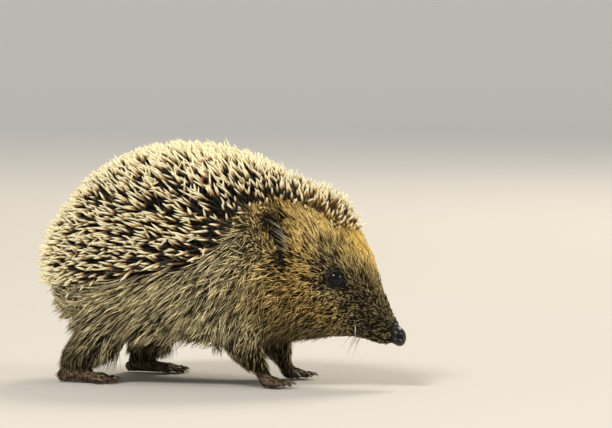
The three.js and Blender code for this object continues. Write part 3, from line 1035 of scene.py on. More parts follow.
def unwrap_at(places):
    """Where each place falls on an unwrap of the part of the skin that the places cover."""
    hits = nearest_faces(cage_tree, places)
    used, face = np.unique(hits, return_inverse=True)
    mesh = bpy.data.meshes.new("unwrap")
    mesh.from_pydata(cage_points.tolist(), [], cage_triangles[used].tolist())
    carrier = new_object("unwrap", mesh)
    bpy.context.view_layer.objects.active = carrier
    carrier.select_set(True)
    bpy.ops.object.mode_set(mode="EDIT")
    bpy.ops.mesh.select_all(action="SELECT")
    bpy.ops.uv.smart_project(angle_limit=UNWRAP_ANGLE, island_margin=PATCH)
    bpy.ops.object.mode_set(mode="OBJECT")
    corners_uv = rows_of(mesh.uv_layers.active.data, "uv", 2).reshape(-1, 3, 2)[face]
    bpy.data.objects.remove(carrier)
    bpy.data.meshes.remove(mesh)
    share = corner_shares(cage_points[cage_triangles[hits]], places)[:, :, None]
    return np.clip((corners_uv * share).sum(1), PATCH, 1 - PATCH)


print("unwrap:", len(cage_triangles), "triangles")

# %% [markdown]
# ## Growing hair and spines
# A tuft is a thin closed rod with a few sides, bent at each of its rings and drawn out to a
# point. Thousands of them are one mesh, so their points and faces are worked out as arrays.
# Hair curves would be lighter to draw, but they don't survive an export to plain mesh.

# %% Rods from paths
def rod_points(paths, radii, sides, roots):
    """The rings of points round each path, and its tip."""
    way = unit(np.gradient(paths, axis=1))
    across = unit(np.cross(way, roots.normal[:, None] + 1e-6))
    over = np.cross(across, way)
    turn = 2 * math.pi * np.arange(sides) / sides
    circle = across[:, :-1, None] * np.cos(turn)[:, None] + over[:, :-1, None] * np.sin(turn)[:, None]
    ring_points = paths[:, :-1, None] + circle * radii[:, :-1, None, None]
    return np.concatenate([ring_points.reshape(len(paths), -1, 3), paths[:, -1:]], 1)


def rod_faces(rings, sides):
    """One rod's faces, as all their corners in a row and the number of corners of each."""
    here, after = np.arange(sides), (np.arange(sides) + 1) % sides
    quads = [np.stack([ring * sides + here, ring * sides + after, (ring + 1) * sides + after,
                       (ring + 1) * sides + here], 1) for ring in range(rings - 1)]
    tip = np.stack([(rings - 1) * sides + here, (rings - 1) * sides + after,
                    np.full(sides, rings * sides)], 1)
    corners = np.concatenate([np.concatenate(quads).ravel(), tip.ravel(), here[::-1]])
    return corners, np.array([4] * (rings - 1) * sides + [3] * sides + [sides])


def add_colours(mesh, name, values):
    layer = mesh.attributes.new(name, "FLOAT_COLOR", "POINT")
    put_rows(layer.data, "color", values)


def rods(name, paths, radii, sides, roots, look, finish):
    """One mesh of closed tapered rods. paths: rods × points × 3, the last point is the tip."""
    count, rings = len(paths), paths.shape[1] - 1
    along = np.linspace(0, 1, rings + 1)
    corners, sizes = rod_faces(rings, sides)
    step = rings * sides + 1  # points in one rod
    mesh = bpy.data.meshes.new(name)
    mesh.vertices.add(count * step)
    mesh.loops.add(count * len(corners))
    mesh.polygons.add(count * len(sizes))
    put_rows(mesh.vertices, "co", rod_points(paths, radii, sides, roots) * MM)
    put_rows(mesh.loops, "vertex_index", np.arange(count)[:, None] * step + corners, np.int32)
    loop_starts = np.concatenate([[0], np.cumsum(np.tile(sizes, count))[:-1]])
    put_rows(mesh.polygons, "loop_start", loop_starts, np.int32)
    mesh.update(calc_edges=True)
    mesh.shade_smooth()
    wrap_patches(mesh, roots, rings, sides, along)
    strand = np.ones((count, step, 4))
    strand[:, :, 0] = np.append(np.repeat(along[:-1], sides), 1.0)
    strand[:, :, 1:3] = look[:, None]
    add_colours(mesh, "strand", strand)
    add_colours(mesh, "marking", np.repeat(roots.carry(skin_marking)[:, None], step, axis=1))
    print(f"{name}: {count} rods, {int((sizes - 2).sum()) * count} triangles")
    return paint(new_object(name, mesh), finish)


def wrap_patches(mesh, roots, rings, sides, along):
    """Unrolls each rod into a small patch at its root's place on the unwrapped skin."""
    span = np.arange(sides)
    u, v = [], []
    for low, high in zip(along[:-2], along[1:-1]):
        u.append(np.stack([span, span + 1, span + 1, span], 1).ravel())
        v.append(np.tile([low, low, high, high], sides))
    u.append(np.stack([span, span + 1, span + 0.5], 1).ravel())
    v.append(np.tile([along[-2], along[-2], 1.0], sides))
    u.append(span[::-1] + 0.5)
    v.append(np.zeros(sides))
    patch = np.stack([np.concatenate(u) / sides - 0.5, np.concatenate(v) - 0.5], 1) * PATCH
    layer = mesh.uv_layers.new(name="OFBake")
    put_rows(layer.data, "uv", unwrap_at(roots.place)[:, None] + patch)


# The skin and every coat piece carry the same four markings; the flank's shade is what is left.
# The fringe on the lower flank and the throat is painted with the underside's dark colour: painted shade
# under the body.
FRINGE_PAINTED_SHADE = 0.6  # the fringe takes this much of the shade of the underside
skin_marking = np.clip(net.spread(skin_groom.shades[:, :4], 4), 0, 1)
# The ear's fold takes the mask's dark colour on skin and hair: painted shade in the fold.
skin_marking[:, 1] = np.maximum(skin_marking[:, 1], ear_fold_and_shade)
skin_marking[:, 2] = np.maximum(skin_marking[:, 2], FRINGE_PAINTED_SHADE * fringe)
add_colours(skin.data, "marking", skin_marking)
# The ear's rim is tan and its hollow painted near black: a painted shade in the recess.
ear_rim_and_cup_shade = net.spread(owned_by("ear") * 0.5 + ear_cup_bared_and_shaded * 0.5, 1)  # a half on the rim, 1 in the hollow
paw_mask = net.spread(owned_by("forepaw", "hind_foot"), 2)
add_colours(skin.data, "bareness", np.stack([nose_mask * 1.0, lid_mask, paw_mask, ear_rim_and_cup_shade], 1))
print("markings:", ", ".join(f"{shade} {share:.2f}" for shade, share in zip(SHADES, skin_marking.mean(0))))

# %% [markdown]
# ## Finishes of the coat
# A hedgehog's hair is agouti: dark at the root and pale at the tip. Its spines are banded,
# cream at both ends with a dark belt below the tip. The rods carry how far along they are and
# two random tones, so one finish gives every hair its own colour.

# %% Colours and finishes
def colour(*chart):
    """Red, green and blue as on a paint chart, made linear for the shader."""
    linear = [((v / 255 + 0.055) / 1.055) ** 2.4 if v > 10 else v / 3294.6 for v in chart]
    return (*linear, 1)


HAIR = {  # shade: (root, tip)
    "flank": (colour(18, 12, 5), colour(255, 240, 192)),
    "forehead": (colour(124, 84, 30), colour(255, 226, 138)),
    "mask": (colour(10, 7, 3), colour(110, 94, 60)),
    "under": (colour(14, 10, 5), colour(138, 118, 78)),
    "cheek": (colour(28, 18, 6), colour(255, 216, 132)),
}
ROOT, TIP = 0, 1
TIP_RUN = (0.1, 0.6)  # the tip's colour comes in along this part of a hair
PALE_TONES = (0.56, 0.77)  # a hair's tip turns pale with its tone, between these
GOLDEN_TONE = 0.13  # more hairs of the forehead are pale than elsewhere
PALEST, DARKEST = 0.97, 0.03  # how much of the tip's colour pale hairs add, and all hairs have
LOCK_LIGHT = (0.66, 0.64)  # how much brighter the palest lock is, and the darkest one's brightness


def shaded(finish, end):
    """The root's or the tip's colour, blended as the markings say."""
    forehead, mask, under = finish.attribute("marking")
    made = finish.mix(finish.fourth("marking"), HAIR["flank"][end], HAIR["cheek"][end])
    made = finish.mix(forehead, made, HAIR["forehead"][end])
    made = finish.mix(mask, made, HAIR["mask"][end])
    return finish.mix(under, made, HAIR["under"][end])


def make_hair_finish():
    hair = Finish("agouti_hair", Roughness=0.55, Specular_IOR_Level=0.18,
                  Specular_Tint=(1.0, 0.85, 0.6, 1))
    along, tone, lock = hair.attribute("strand")
    golden, _, _ = hair.attribute("marking")
    pale = (tone + golden * GOLDEN_TONE).ramp(*PALE_TONES) * PALEST + DARKEST
    made = hair.mix(along.ramp(*TIP_RUN) * pale, shaded(hair, ROOT), shaded(hair, TIP))
    return hair.coloured(hair.scaled(made, lock * LOCK_LIGHT[0] + LOCK_LIGHT[1]))


SPINE = {"foot": colour(150, 120, 78), "belt": colour(22, 15, 8), "golden_belt": colour(110, 80, 40),
         "tan": colour(186, 148, 92), "tip": colour(252, 244, 206), "point": colour(206, 176, 120)}
BANDS = {"belt": (0.16, 0.3), "tan": (0.52, 0.6), "tip": (0.58, 0.7)}  # where each colour comes in
BAND_SHIFT = 0.14  # no two spines are banded at quite the same heights
GOLDEN_BELT = 0.75
POINT_RUN = (0.94, 1.0)
SPINE_LIGHT = (0.22, 0.82)  # how much brighter the palest spine is, and the darkest one's brightness


def make_spine_finish():
    spine = Finish("banded_spines", Roughness=0.38, Specular_IOR_Level=0.5)
    along, tone, border = spine.attribute("strand")
    golden, _, _ = spine.attribute("marking")
    belt = spine.mix(border, SPINE["belt"], SPINE["foot"])
    belt = spine.mix(golden * GOLDEN_BELT, belt, SPINE["golden_belt"])
    shifted = along + (tone - 0.5) * BAND_SHIFT
    made = SPINE["foot"]
    for tint, run in zip((belt, SPINE["tan"], SPINE["tip"]), BANDS.values()):
        made = spine.mix(shifted.ramp(*run), made, tint)
    made = spine.mix(along.ramp(*POINT_RUN) * 0.5, made, SPINE["point"])
    return spine.coloured(spine.scaled(made, tone * SPINE_LIGHT[0] + SPINE_LIGHT[1]))


hair_finish = make_hair_finish()
spine_finish = make_spine_finish()
print("finishes:", hair_finish.material.name, "and", spine_finish.material.name)

# %% [markdown]
# ## The spines
# The roots of the spines keep their distance, as each sits in a muscle of its own. They lean
# back over the flanks and rump, stand up on the back, and lean forward over the brow, and every
# one goes its own way a little. Each is as long as it takes to reach the mantle's outline.

# %% Spine guides and mesh
SPINE_GUIDES = (  # place x, y, z; reach; way x, y, z
    ((0, 0, 76), 14, (-0.35, 0, 1)),
    ((-25, 0, 74), 12, (-0.55, 0, 0.9)),
    ((-45, 0, 60), 11, (-0.85, 0, 0.6)),
    ((-60, 0, 42), 10, (-1, 0, 0.15)),
    ((-55, 20, 36), 9, (-1, 0.25, -0.05)),
    ((-35, 31, 42), 10, (-0.9, 0.45, 0.05)),
    ((-10, 35, 44), 10, (-0.85, 0.5, 0.1)),
    ((-10, 25, 64), 10, (-0.6, 0.45, 0.6)),
    ((10, 33, 50), 8, (-0.8, 0.5, 0.25)),
    ((15, 22, 66), 9, (-0.5, 0.5, 0.75)),
    ((22, 0, 72), 9, (-0.2, 0, 1)),
    ((26, 18, 64), 6, (-0.4, 0.55, 0.7)),
    ((34, 12, 62), 6, (-0.05, 0.4, 0.9)),
    ((38, 0, 64), 6, (0.15, 0, 1)),
    ((44, 6, 58), 6, (0.5, 0.2, 0.85)),
)
SPINE_TRIES = 40000
SPINE_BORDER = 0.55  # spines grow where the skin's share under the mantle is above this
SPINE_GAP = 1.27
SPINE_SPREAD = 0.38  # random lean, as a share of the spine's own way
SPINE_RISE = 0.34  # no spine lies flatter on the skin than this
SPINE_REACH = (0.88, 1.03)  # random length, as shares of the way to the mantle's outline
SPINE_SHORTEST, SPINE_LONGEST = 8.5, 17.5
SPINE_INNER = (0.6, 0.99)  # from the border of the spines to where they have their full length
SPINE_TRIM = 0.45  # the share of its length that a spine on the border loses
SPINE_BEND = 0.06
SPINE_DEPTH = 0.4  # of the root in the skin
SPINE_AT = np.array([0, 0.1, 0.4, 0.72, 0.88, 1.0])
SPINE_RADII = np.array([0.2, 0.34, 0.44, 0.42, 0.29, 0.0])
SPINE_WIDTHS = (0.88, 1.1)
SPINE_SIDES = 6
PALE_REAR = (30, 58)  # the spines grow paler this far behind the middle of the body
PALE_TOP = (62, 74)  # and this high up
OUTSIDE = 40.0  # a place this far out along a spine is outside the mantle


def reach_of(roots, ways):
    """How far it is from each root to the outside of the mantle, the way the spine grows."""
    found = []
    for place, way in zip(roots.place, ways):
        hit = mantle_tree.ray_cast(Vector(place + way * OUTSIDE), Vector(-way), OUTSIDE)
        found.append(OUTSIDE - hit[3] if hit[0] is not None else SPINE_SHORTEST)
    return np.array(found)


def spine_ways(roots, draw):
    """Which way each spine points: as its guides say, more or less, and never flat on the skin."""
    ways = guided_way(roots.place, SPINE_GUIDES, guide_weights(roots.place, SPINE_GUIDES))
    ways = unit(ways + draw.normal(0, SPINE_SPREAD, ways.shape))
    outward = (ways * roots.normal).sum(1)
    return unit(ways + roots.normal * np.maximum(SPINE_RISE - outward, 0)[:, None])


def grow_spines():
    draw = np.random.default_rng(11)
    roots = spaced(scatter(SPINE_TRIES, (spiny > SPINE_BORDER) * 1.0, draw), SPINE_GAP)
    ways = spine_ways(roots, draw)
    reach = reach_of(roots, ways) * draw.uniform(*SPINE_REACH, len(ways))
    inner = smoothstep(*SPINE_INNER, roots.carry(spiny))
    length = np.clip(reach, SPINE_SHORTEST, SPINE_LONGEST) * (1 - SPINE_TRIM + SPINE_TRIM * inner)
    bend = unit(ways + draw.normal(0, SPINE_BEND, ways.shape)) - ways
    path = ways[:, None] * SPINE_AT[:, None] + bend[:, None] * (SPINE_AT ** 2)[:, None]
    start = roots.place[:, None] - roots.normal[:, None] * SPINE_DEPTH
    paths = start + path * length[:, None, None]
    radii = SPINE_RADII * draw.uniform(*SPINE_WIDTHS, (len(ways), 1))
    paler = 0.5 * smoothstep(*PALE_REAR, -roots.place[:, 0])
    paler = paler + 0.3 * smoothstep(*PALE_TOP, roots.place[:, 2])
    tone = draw.random(len(ways)) + paler
    border = (1 - inner) * draw.uniform(0.4, 1, len(ways))
    looks = np.stack([tone, border], 1)
    for side, sign in SIDES.items():
        mine = np.where(roots.place[:, 1] * sign > 0)[0]
        rods(f"spines_{side}", paths[mine], radii[mine], SPINE_SIDES, roots.only(mine), looks[mine],
             spine_finish)


grow_spines()

# %% [markdown]
# ## The hair
# Hair isn't even: a lock of neighbours leans together and their tips meet, with dark gaps
# between the locks. So a few hairs lead, and the others bend towards their leader's tip. Hair
# that would dip under the skin is lifted out, and hair that would stand too far off is pressed
# down, which keeps the coat inside the outline of the solids.

# %% Strands
# Every hair has a rank, from 0 for low dark wool to 1 for a long pale guard hair over it. The low
# hairs are dark partly by their own colour and partly as painted shade deep in the coat.
LOCK_TURN, OWN_TURN = 0.55, 0.65  # how much of the untidiness is the lock's, and the hair's own
LENGTHS = (0.6, 0.5)  # of wool, as a share of the guides' length, and what guard hairs add
LENGTH_SPREAD = (0.8, 1.1)
LIFTS = (0.5, 0.9)  # the same for the angle off the skin
LIFT_SPREAD = (0.6, 1.4)
ROOT_DEPTH = 0.15
RISE = (1.7, 1.5)  # a hair rises off the skin at its root, and bends down along its length
GATHER_POWER = 1.3  # locks part at their roots and meet at their tips
COAT_CAP = {"wool": 0.35, "guard": 0.95, "least": 0.3, "hanging": 2.4}
SKIN_CLEARANCE = 0.1
FRINGE_FALL = 6.0  # how far the fringe hangs free of the belly
RIDGE_FUZZ = 1.8  # how much further the forehead's hair stands off
FLOOR_CLEARANCE = 0.25
SMALL_SHIFT = 0.02  # a point that is less out of place than this stays there


def comb(roots, groom, lock_of, draw, hang):
    """The way each hair lies: along the skin, but for the share of its outward fall that it keeps."""
    outward = (groom.lie * roots.normal).sum(1)
    kept = np.maximum(outward, 0) * hang
    lie = unit(groom.lie + roots.normal * (kept - outward)[:, None])
    side = unit(np.cross(roots.normal, lie))
    lock_turn = draw.normal(0, 1, len(roots.place))[lock_of]
    own_turn = draw.normal(0, 1, len(roots.place))
    turn = np.radians(groom.mess) * (lock_turn * LOCK_TURN + own_turn * OWN_TURN)
    return lie * np.cos(turn)[:, None] + side * np.sin(turn)[:, None], kept


def locks(roots, per_lock, draw):
    """Each hair's leader: the nearest of a few hairs picked at random."""
    leaders = draw.choice(len(roots.place), max(1, len(roots.place) // per_lock), replace=False)
    tree = KDTree(len(leaders))
    for leader in leaders:
        tree.insert(Vector(roots.place[leader]), int(leader))
    tree.balance()
    return np.array([tree.find(Vector(p))[1] for p in roots.place])


def strands(roots, rank, bends, draw, per_lock, gather, hang, sag):
    """Paths of bent hairs, rods × (bends + 1) × 3, and each hair's lock."""
    groom = Groom(roots.place)
    lock_of = locks(roots, per_lock, draw)
    way, kept = comb(roots, groom, lock_of, draw, hang)
    length = groom.length * roots.carry(trimmed) * (LENGTHS[0] + LENGTHS[1] * rank)
    length = length * draw.uniform(*LENGTH_SPREAD, len(way))
    lift = groom.lift * (LIFTS[0] + LIFTS[1] * rank)
    lift = np.radians(lift * draw.uniform(*LIFT_SPREAD, len(way)))
    paths = [roots.place - roots.normal * ROOT_DEPTH]
    for step in range(bends):
        share = (step + 0.5) / bends
        rise = lift * (RISE[0] - RISE[1] * share)
        go = way * np.cos(rise)[:, None] + roots.normal * np.sin(rise)[:, None]
        go = unit(go + np.array([0, 0, -sag]) * share)
        paths.append(paths[-1] + go * (length / bends)[:, None])
    paths = np.stack(paths, 1)
    share = np.linspace(0, 1, bends + 1)[None, :, None] ** GATHER_POWER
    pull = gather * (1 - 0.5 * rank)[:, None, None]
    paths = paths + (paths[lock_of] - paths) * share * pull
    return keep_in_coat(paths, roots, rank, kept), lock_of


def keep_in_coat(paths, roots, rank, kept):
    """Holds the hairs between the skin and the coat's outline."""
    cap = roots.carry(depth) * (COAT_CAP["wool"] + COAT_CAP["guard"] * rank ** 2)
    cap = cap + COAT_CAP["least"] + COAT_CAP["hanging"] * kept * rank
    cap = cap + FRINGE_FALL * roots.carry(fringe) * rank
    cap = cap + RIDGE_FUZZ * roots.carry(skin_groom.shades)[:, 0] * rank
    for step in range(1, paths.shape[1]):
        low = SKIN_CLEARANCE + (0.1 + 0.2 * rank) * step / (paths.shape[1] - 1)
        for number, point in enumerate(paths[:, step]):
            hit, normal, _, _ = skin_tree.find_nearest(Vector(point))
            gap = (Vector(point) - hit).dot(normal)
            wanted = min(max(gap, low[number]), max(cap[number], low[number]))
            if abs(wanted - gap) > SMALL_SHIFT:
                paths[number, step] += np.array(normal) * (wanted - gap)
    paths[:, 1:, 2] = np.maximum(paths[:, 1:, 2], FLOOR_CLEARANCE)
    return paths


# %% [markdown]
# ## The coats
# Each part of the body has its own coat: fine and dense on the face, long and gathered in locks
# on the flank. The hair runs on a little way under the first spines, so that no bare skin shows
# between the two, and thins out in the folds and hollows of the ears.

# %% Coats
# part: seed, hairs, bends, radius, slot
COATS = {
    "face": (21, 17500, 2, 0.125, "face_fur"),
    "neck": (31, 9000, 3, 0.135, "flank_fur"),
    "flank": (41, 8900, 4, 0.15, "flank_fur"),
    "belly": (51, 5500, 2, 0.17, "flank_fur"),
    "legs": (61, 12000, 2, 0.12, "leg_fur"),
}
# part: hairs in a lock, how far their tips gather, how much of their fall they keep, their sag
MANNERS = {
    "face": (4, 0.2, 0.25, 0.0),
    "neck": (5, 0.25, 0.5, 0.0),
    "flank": (7, 0.42, 0.9, 0.2),
    "belly": (8, 0.5, 0.5, 0.0),
    "legs": (6, 0.4, 0.2, 0.0),
}
HAIR_SIDES = 3
TAPER = ((0, 0.4, 0.75, 1), (0.8, 1.0, 0.75, 0.0))  # places along a hair, and its width there
WIDTHS = (0.8, 0.45)  # a dark hair's width, and what the palest adds
# A hair's tone rises with its rank, so low hairs are painted darker: partly painted shade deep in the coat.
# Random dark tones also stand in for shaded gaps between the hairs.
TONES = {"rank": 0.5, "own": 0.32, "lock": 0.18}  # what a hair's tone is made of
THIN = 1.0
FLANK_END = (0.5, 0.85)  # the flank's hair ends between these shares under the spines
FACE_END = (0.6, 0.97)  # the face's and neck's runs on further, under the first spines
BROW = (24, 32)  # ahead of this, hair grows on among the spines of the brow
BROW_SHARE = 0.7
BELLY_SLOPE = (0.55, 0.85)  # how far the skin faces down, from the flank to the belly
FEET_SHARE = 0.6
FOLD_THINNING, HOLLOW_THINNING = 0.85, 0.9


def grow_hair(part, thickness, side=""):
    """One coat's hairs, as thick on each point of the skin as `thickness` says."""
    seed, full_count, bends, width, slot = COATS[part]
    count = int(full_count * THIN)
    draw = np.random.default_rng(seed + SIDES.get(side, 0))
    roots = scatter(count, thickness * (1 - bare), draw)
    rank = draw.random(count)
    paths, lock_of = strands(roots, rank, bends, draw, *MANNERS[part])
    taper = np.interp(np.linspace(0, 1, bends + 1), *TAPER)
    lock_tone = draw.random(count)[lock_of]
    tone = rank * TONES["rank"] + draw.random(count) * TONES["own"] + lock_tone * TONES["lock"]
    radii = taper * (width * (WIDTHS[0] + WIDTHS[1] * tone))[:, None]
    looks = np.stack([tone, lock_tone], 1)
    name = "_".join(filter(None, ("hair", part, side)))
    return rods(name, paths, radii, HAIR_SIDES, roots, looks, hair_finish)


under_front = np.clip(1 - smoothstep(*FACE_END, spiny), 0, 1)
brow = BROW_SHARE * smoothstep(*BROW, points[:, 0])
folds = 1 - FOLD_THINNING * ear_fold_and_shade
ears = owned_by("ear") * (1 - HOLLOW_THINNING * ear_cup_bared_and_shaded)
trunk = owned_by("trunk") * np.clip(1 - smoothstep(*FLANK_END, spiny), 0, 1)
belly = trunk * smoothstep(*BELLY_SLOPE, -skin_normals[:, 2])
legs = owned_by("foreleg", "hind_leg", "tail") + FEET_SHARE * owned_by("forepaw", "hind_foot")
paired = {
    "face": owned_by("head", "snout", "jaw") * np.maximum(under_front, brow) * folds,
    "neck": owned_by("neck") * under_front * folds + ears,
    "flank": trunk - belly,
}
for side, sign in SIDES.items():
    for part, thickness in paired.items():
        grow_hair(part, thickness * (points[:, 1] * sign > 0), side)
grow_hair("belly", belly)
grow_hair("legs", legs)

# %% [markdown]
# ## Eyes
# The eye is a wet black bead: a finer ball at the solid eye's place, smooth enough to mirror
# the lamps.

# %% Eyes
def add_eye(side):
    centre, half = EYES[side]
    shape = bmesh.new()
    add_ball(shape, centre, half, segments=40)
    made = object_from(f"eyeball_{side}", shape)
    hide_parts(f"eye_{side}")
    return made


eye_finish = Finish("wet_black_eye", Base_Color=(0.002, 0.0015, 0.0015, 1), Roughness=0.06,
                    Specular_IOR_Level=0.25)
for side in SIDES:
    paint(add_eye(side), eye_finish)
print("eyeballs:", len(SIDES))

# %% [markdown]
# ## Claws
# A hedgehog digs with long curved claws. Each is a horn: a circle at the end of the toe that is
# extruded from point to point along a bend, narrower each time. A cone would be straight.

# %% Claws
CLAW = {"forepaw": 3.2, "hind_foot": 2.9}  # length
CLAW_TURN = (math.radians(24), math.radians(-52))  # pitch at the toe and at the tip
CLAW_RADII = (0.5, 0.56, 0.5, 0.4, 0.26, 0.05)
CLAW_ROOT = (-0.3, 0.25)  # ahead of the toe's tip, and above it


def add_horn(shape, path, radii, sides=10):
    """A closed horn along a path."""
    start = Matrix.Translation(Vector(path[0]) * MM)
    turn = Vector(path[1] - path[0]).to_track_quat("Z", "Y").to_matrix().to_4x4()
    ring = bmesh.ops.create_circle(shape, cap_ends=True, segments=sides, radius=radii[0] * MM,
                                   matrix=start @ turn)["verts"]
    face = [f for f in ring[0].link_faces if set(f.verts) == set(ring)]
    for here, there, wide, narrow in zip(path, path[1:], radii, radii[1:]):
        made = bmesh.ops.extrude_face_region(shape, geom=face)["geom"]
        ring = [g for g in made if isinstance(g, bmesh.types.BMVert)]
        face = [g for g in made if isinstance(g, bmesh.types.BMFace)]
        middle = Matrix.Translation(-Vector(here) * MM)
        bmesh.ops.scale(shape, verts=ring, vec=[narrow / wide] * 3, space=middle)
        bmesh.ops.translate(shape, verts=ring, vec=Vector(there - here) * MM)


def add_claws(part, side):
    shape = bmesh.new()
    steps = len(CLAW_RADII) - 1
    for _, tip, way in toe_lines(part, side):
        path = [tip + way * CLAW_ROOT[0] + [0, 0, CLAW_ROOT[1]]]
        for pitch in np.linspace(*CLAW_TURN, steps):
            go = way * math.cos(pitch) + np.array([0, 0, math.sin(pitch)])
            path.append(path[-1] + go * CLAW[part] / steps)
        add_horn(shape, np.array(path), CLAW_RADII)
    bmesh.ops.recalc_face_normals(shape, faces=shape.faces[:])
    return object_from(f"claws_{part}_{side}", shape)


CLAW_TINTS = (colour(52, 40, 30), colour(128, 104, 80))
claw_finish = Finish("claw_horn", Roughness=0.35, Specular_IOR_Level=0.5)
streaks = claw_finish.noise(700, 3.0).ramp(0.3, 0.75)
claw_finish.coloured(claw_finish.mix(streaks, *CLAW_TINTS))
for part, side in PAWS:
    paint(add_claws(part, side), claw_finish)
print("claws:", len(PAWS), "feet")

# %% [markdown]
# ## Whiskers and the hairs of the ear
# Whiskers are stiff and dark, and stand out of the muzzle. One old pale one hangs from the right
# lip. Long fine hairs cross the hollow of each ear from its front edge, to keep dirt out. All
# are rods from chosen places on the skin.

# %% Single hairs
WHISKER_ROWS = ((58, 22), (55.5, 20.5), (53, 19.5), (57, 19.5), (54, 17.8))  # x and z on the muzzle
WHISKERS_PER_ROW = 3
WHISKER_OUT = 9.0  # from the muzzle's middle
WHISKER_LENGTH = 9.0
WHISKER_WAY = (-0.5, 0, -0.25)
WHISKER_RADIUS = 0.11
PALE_WHISKER = {"root": (51.5, -9.0, 20.5), "run": (3.2, -2.0, -12.5), "bow": (-0.9, 0, 0),
                "radius": 0.16, "points": 9}
EAR_HAIRS = 22
EAR_HAIR_RADIUS = 0.12
EAR_HAIR_LENGTHS = (6.0, 10.5)
EAR_HAIR_WAY = (-0.66, 0.42, 0.62)
EAR_EDGE = ((33.0, 22.5, 47.0), (31.0, 22.5, 54.5))  # from low to high in front of the ear
BOW_POINTS = 7


def roots_at(places):
    """Roots at the skin's nearest places."""
    hits = nearest_faces(skin_tree, places)
    return Roots(triangles[hits], np.full((len(hits), 3), 1 / 3))


def add_bowed(name, roots, ways, lengths, sag, radius, sides, looks):
    """Rods that start along `ways` and bend down."""
    along = np.linspace(0, 1, BOW_POINTS)
    reach = lengths[:, None, None] * along[None, :, None]
    fall = sag * lengths[:, None, None] * (along ** 2)[None, :, None] * np.array([0, 0, -1.0])
    paths = roots.place[:, None] + ways[:, None] * reach + fall
    radii = np.tile(np.linspace(radius, 0.0, BOW_POINTS), (len(lengths), 1))
    return rods(name, paths, radii, sides, roots, looks, single_finish)


def add_whiskers(side):
    draw = np.random.default_rng(71 + SIDES[side])
    rows = np.repeat(np.array(WHISKER_ROWS), WHISKERS_PER_ROW, axis=0)
    places = np.stack([rows[:, 0], np.full(len(rows), WHISKER_OUT * SIDES[side]), rows[:, 1]], 1)
    roots = roots_at(places + draw.normal(0, 0.5, places.shape))
    ways = roots.normal * 0.6 + np.array(WHISKER_WAY)
    ways = unit(ways + draw.normal(0, 0.16, roots.place.shape))
    lengths = WHISKER_LENGTH * draw.uniform(0.5, 1.1, len(rows))
    dark = np.zeros((len(rows), 2))
    return add_bowed(f"whiskers_{side}", roots, ways, lengths, 0.25, WHISKER_RADIUS, 4, dark)


def add_ear_hairs(side):
    draw = np.random.default_rng(81 + SIDES[side])
    mirror = np.array([1, SIDES[side], 1])
    low, high = np.array(EAR_EDGE) * mirror
    places = low + (high - low) * draw.random((EAR_HAIRS, 1)) + draw.normal(0, 0.8, (EAR_HAIRS, 3))
    roots = roots_at(places)
    ways = unit(np.array(EAR_HAIR_WAY) * mirror + draw.normal(0, 0.2, roots.place.shape))
    lengths = draw.uniform(*EAR_HAIR_LENGTHS, EAR_HAIRS)
    tones = np.tile(draw.uniform(0.4, 0.9, (EAR_HAIRS, 1)), (1, 2))
    return add_bowed(f"ear_hairs_{side}", roots, ways, lengths, 0.1, EAR_HAIR_RADIUS, 3, tones)


def add_pale_whisker():
    roots = roots_at(np.array([PALE_WHISKER["root"]]))
    along = np.linspace(0, 1, PALE_WHISKER["points"])[:, None]
    path = roots.place[0] + along * PALE_WHISKER["run"] + np.sin(along * math.pi) * PALE_WHISKER["bow"]
    radii = np.linspace(PALE_WHISKER["radius"], 0.0, PALE_WHISKER["points"])[None]
    pale = np.ones((1, 2))
    return rods("pale_whisker", path[None], radii, 5, roots, pale, single_finish)


SINGLE_TINTS = (colour(34, 25, 17), colour(226, 216, 186))  # dark and pale
single_finish = Finish("single_hairs", Roughness=0.4, Specular_IOR_Level=0.4)
_, paleness, _ = single_finish.attribute("strand")
single_finish.coloured(single_finish.mix(paleness, *SINGLE_TINTS))
for side in SIDES:
    add_whiskers(side)
    add_ear_hairs(side)
add_pale_whisker()

# %% [markdown]
# ## Skin finish
# The skin shows on the nose, the lids, the ears and the paws, and between the hairs. There it is
# painted dark: partly its own colour, partly painted shade in the gaps of the coat.

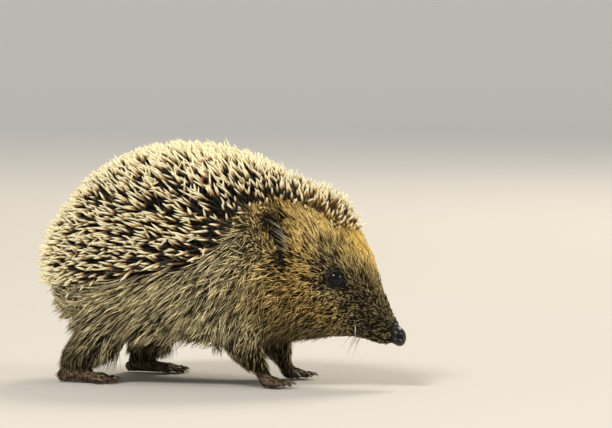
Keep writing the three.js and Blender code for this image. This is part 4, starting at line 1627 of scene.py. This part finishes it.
# %% Skin
# The patch colour is the skin between the hairs, painted dark: partly painted shade in the coat's gaps.
SKIN = {"patch": colour(28, 20, 13), "ear_rim": colour(120, 92, 56), "ear_cup_shade": colour(14, 10, 7),
        "paw": (colour(84, 66, 54), colour(120, 98, 80)),
        "lid": (colour(18, 17, 17), colour(62, 64, 68)), "nose": colour(10, 9, 8)}
SKIN_ROUGHNESS = 0.9
SMOOTHER = {"nose": 0.64, "lid": 0.43, "paw": 0.28}  # the moist nose most of all
PATCHES, PEBBLES, WRINKLES = 900, 2600, 1400  # how many to the metre
RELIEF = 0.0002  # metres


def make_skin_finish():
    finish = Finish("hide", Specular_IOR_Level=0.4)
    nose, lid, paw = finish.attribute("bareness")
    ear_tint_and_cup_shade = finish.fourth("bareness")
    patchy = finish.noise(PATCHES, 3.0)
    # the skin under the hair: the roots' colour and the dark patch colour, partly painted shade
    made = finish.mix(patchy.ramp(0.35, 0.75), shaded(finish, ROOT), SKIN["patch"])
    made = finish.mix(ear_tint_and_cup_shade.ramp(0.1, 0.45), made, SKIN["ear_rim"])
    # the ear's hollow, painted near black: painted shade in its recess
    made = finish.mix(ear_tint_and_cup_shade.ramp(0.5, 0.8), made, SKIN["ear_cup_shade"])
    made = finish.mix(paw, made, finish.mix(patchy, *SKIN["paw"]))
    made = finish.mix(lid, made, finish.mix(patchy.ramp(0.4, 0.7), *SKIN["lid"]))
    made = finish.mix(nose, made, SKIN["nose"])
    rough = SKIN_ROUGHNESS - nose * SMOOTHER["nose"] - lid * SMOOTHER["lid"] - paw * SMOOTHER["paw"]
    finish.feed(finish.shader, {"Roughness": rough})
    pebbles = finish.noise(PEBBLES, 1.0)
    wrinkles = finish.noise(WRINKLES, 3.0, (1, 1, 2))
    finish.bump(pebbles * nose + wrinkles * (1 - nose) * 0.7, RELIEF, 0.6)
    return finish.coloured(made)


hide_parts(*OWNERS)
skin.data.shade_smooth()
paint(skin, make_skin_finish())
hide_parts("mantle")
print("skin: stands for", len(OWNERS), "solids")
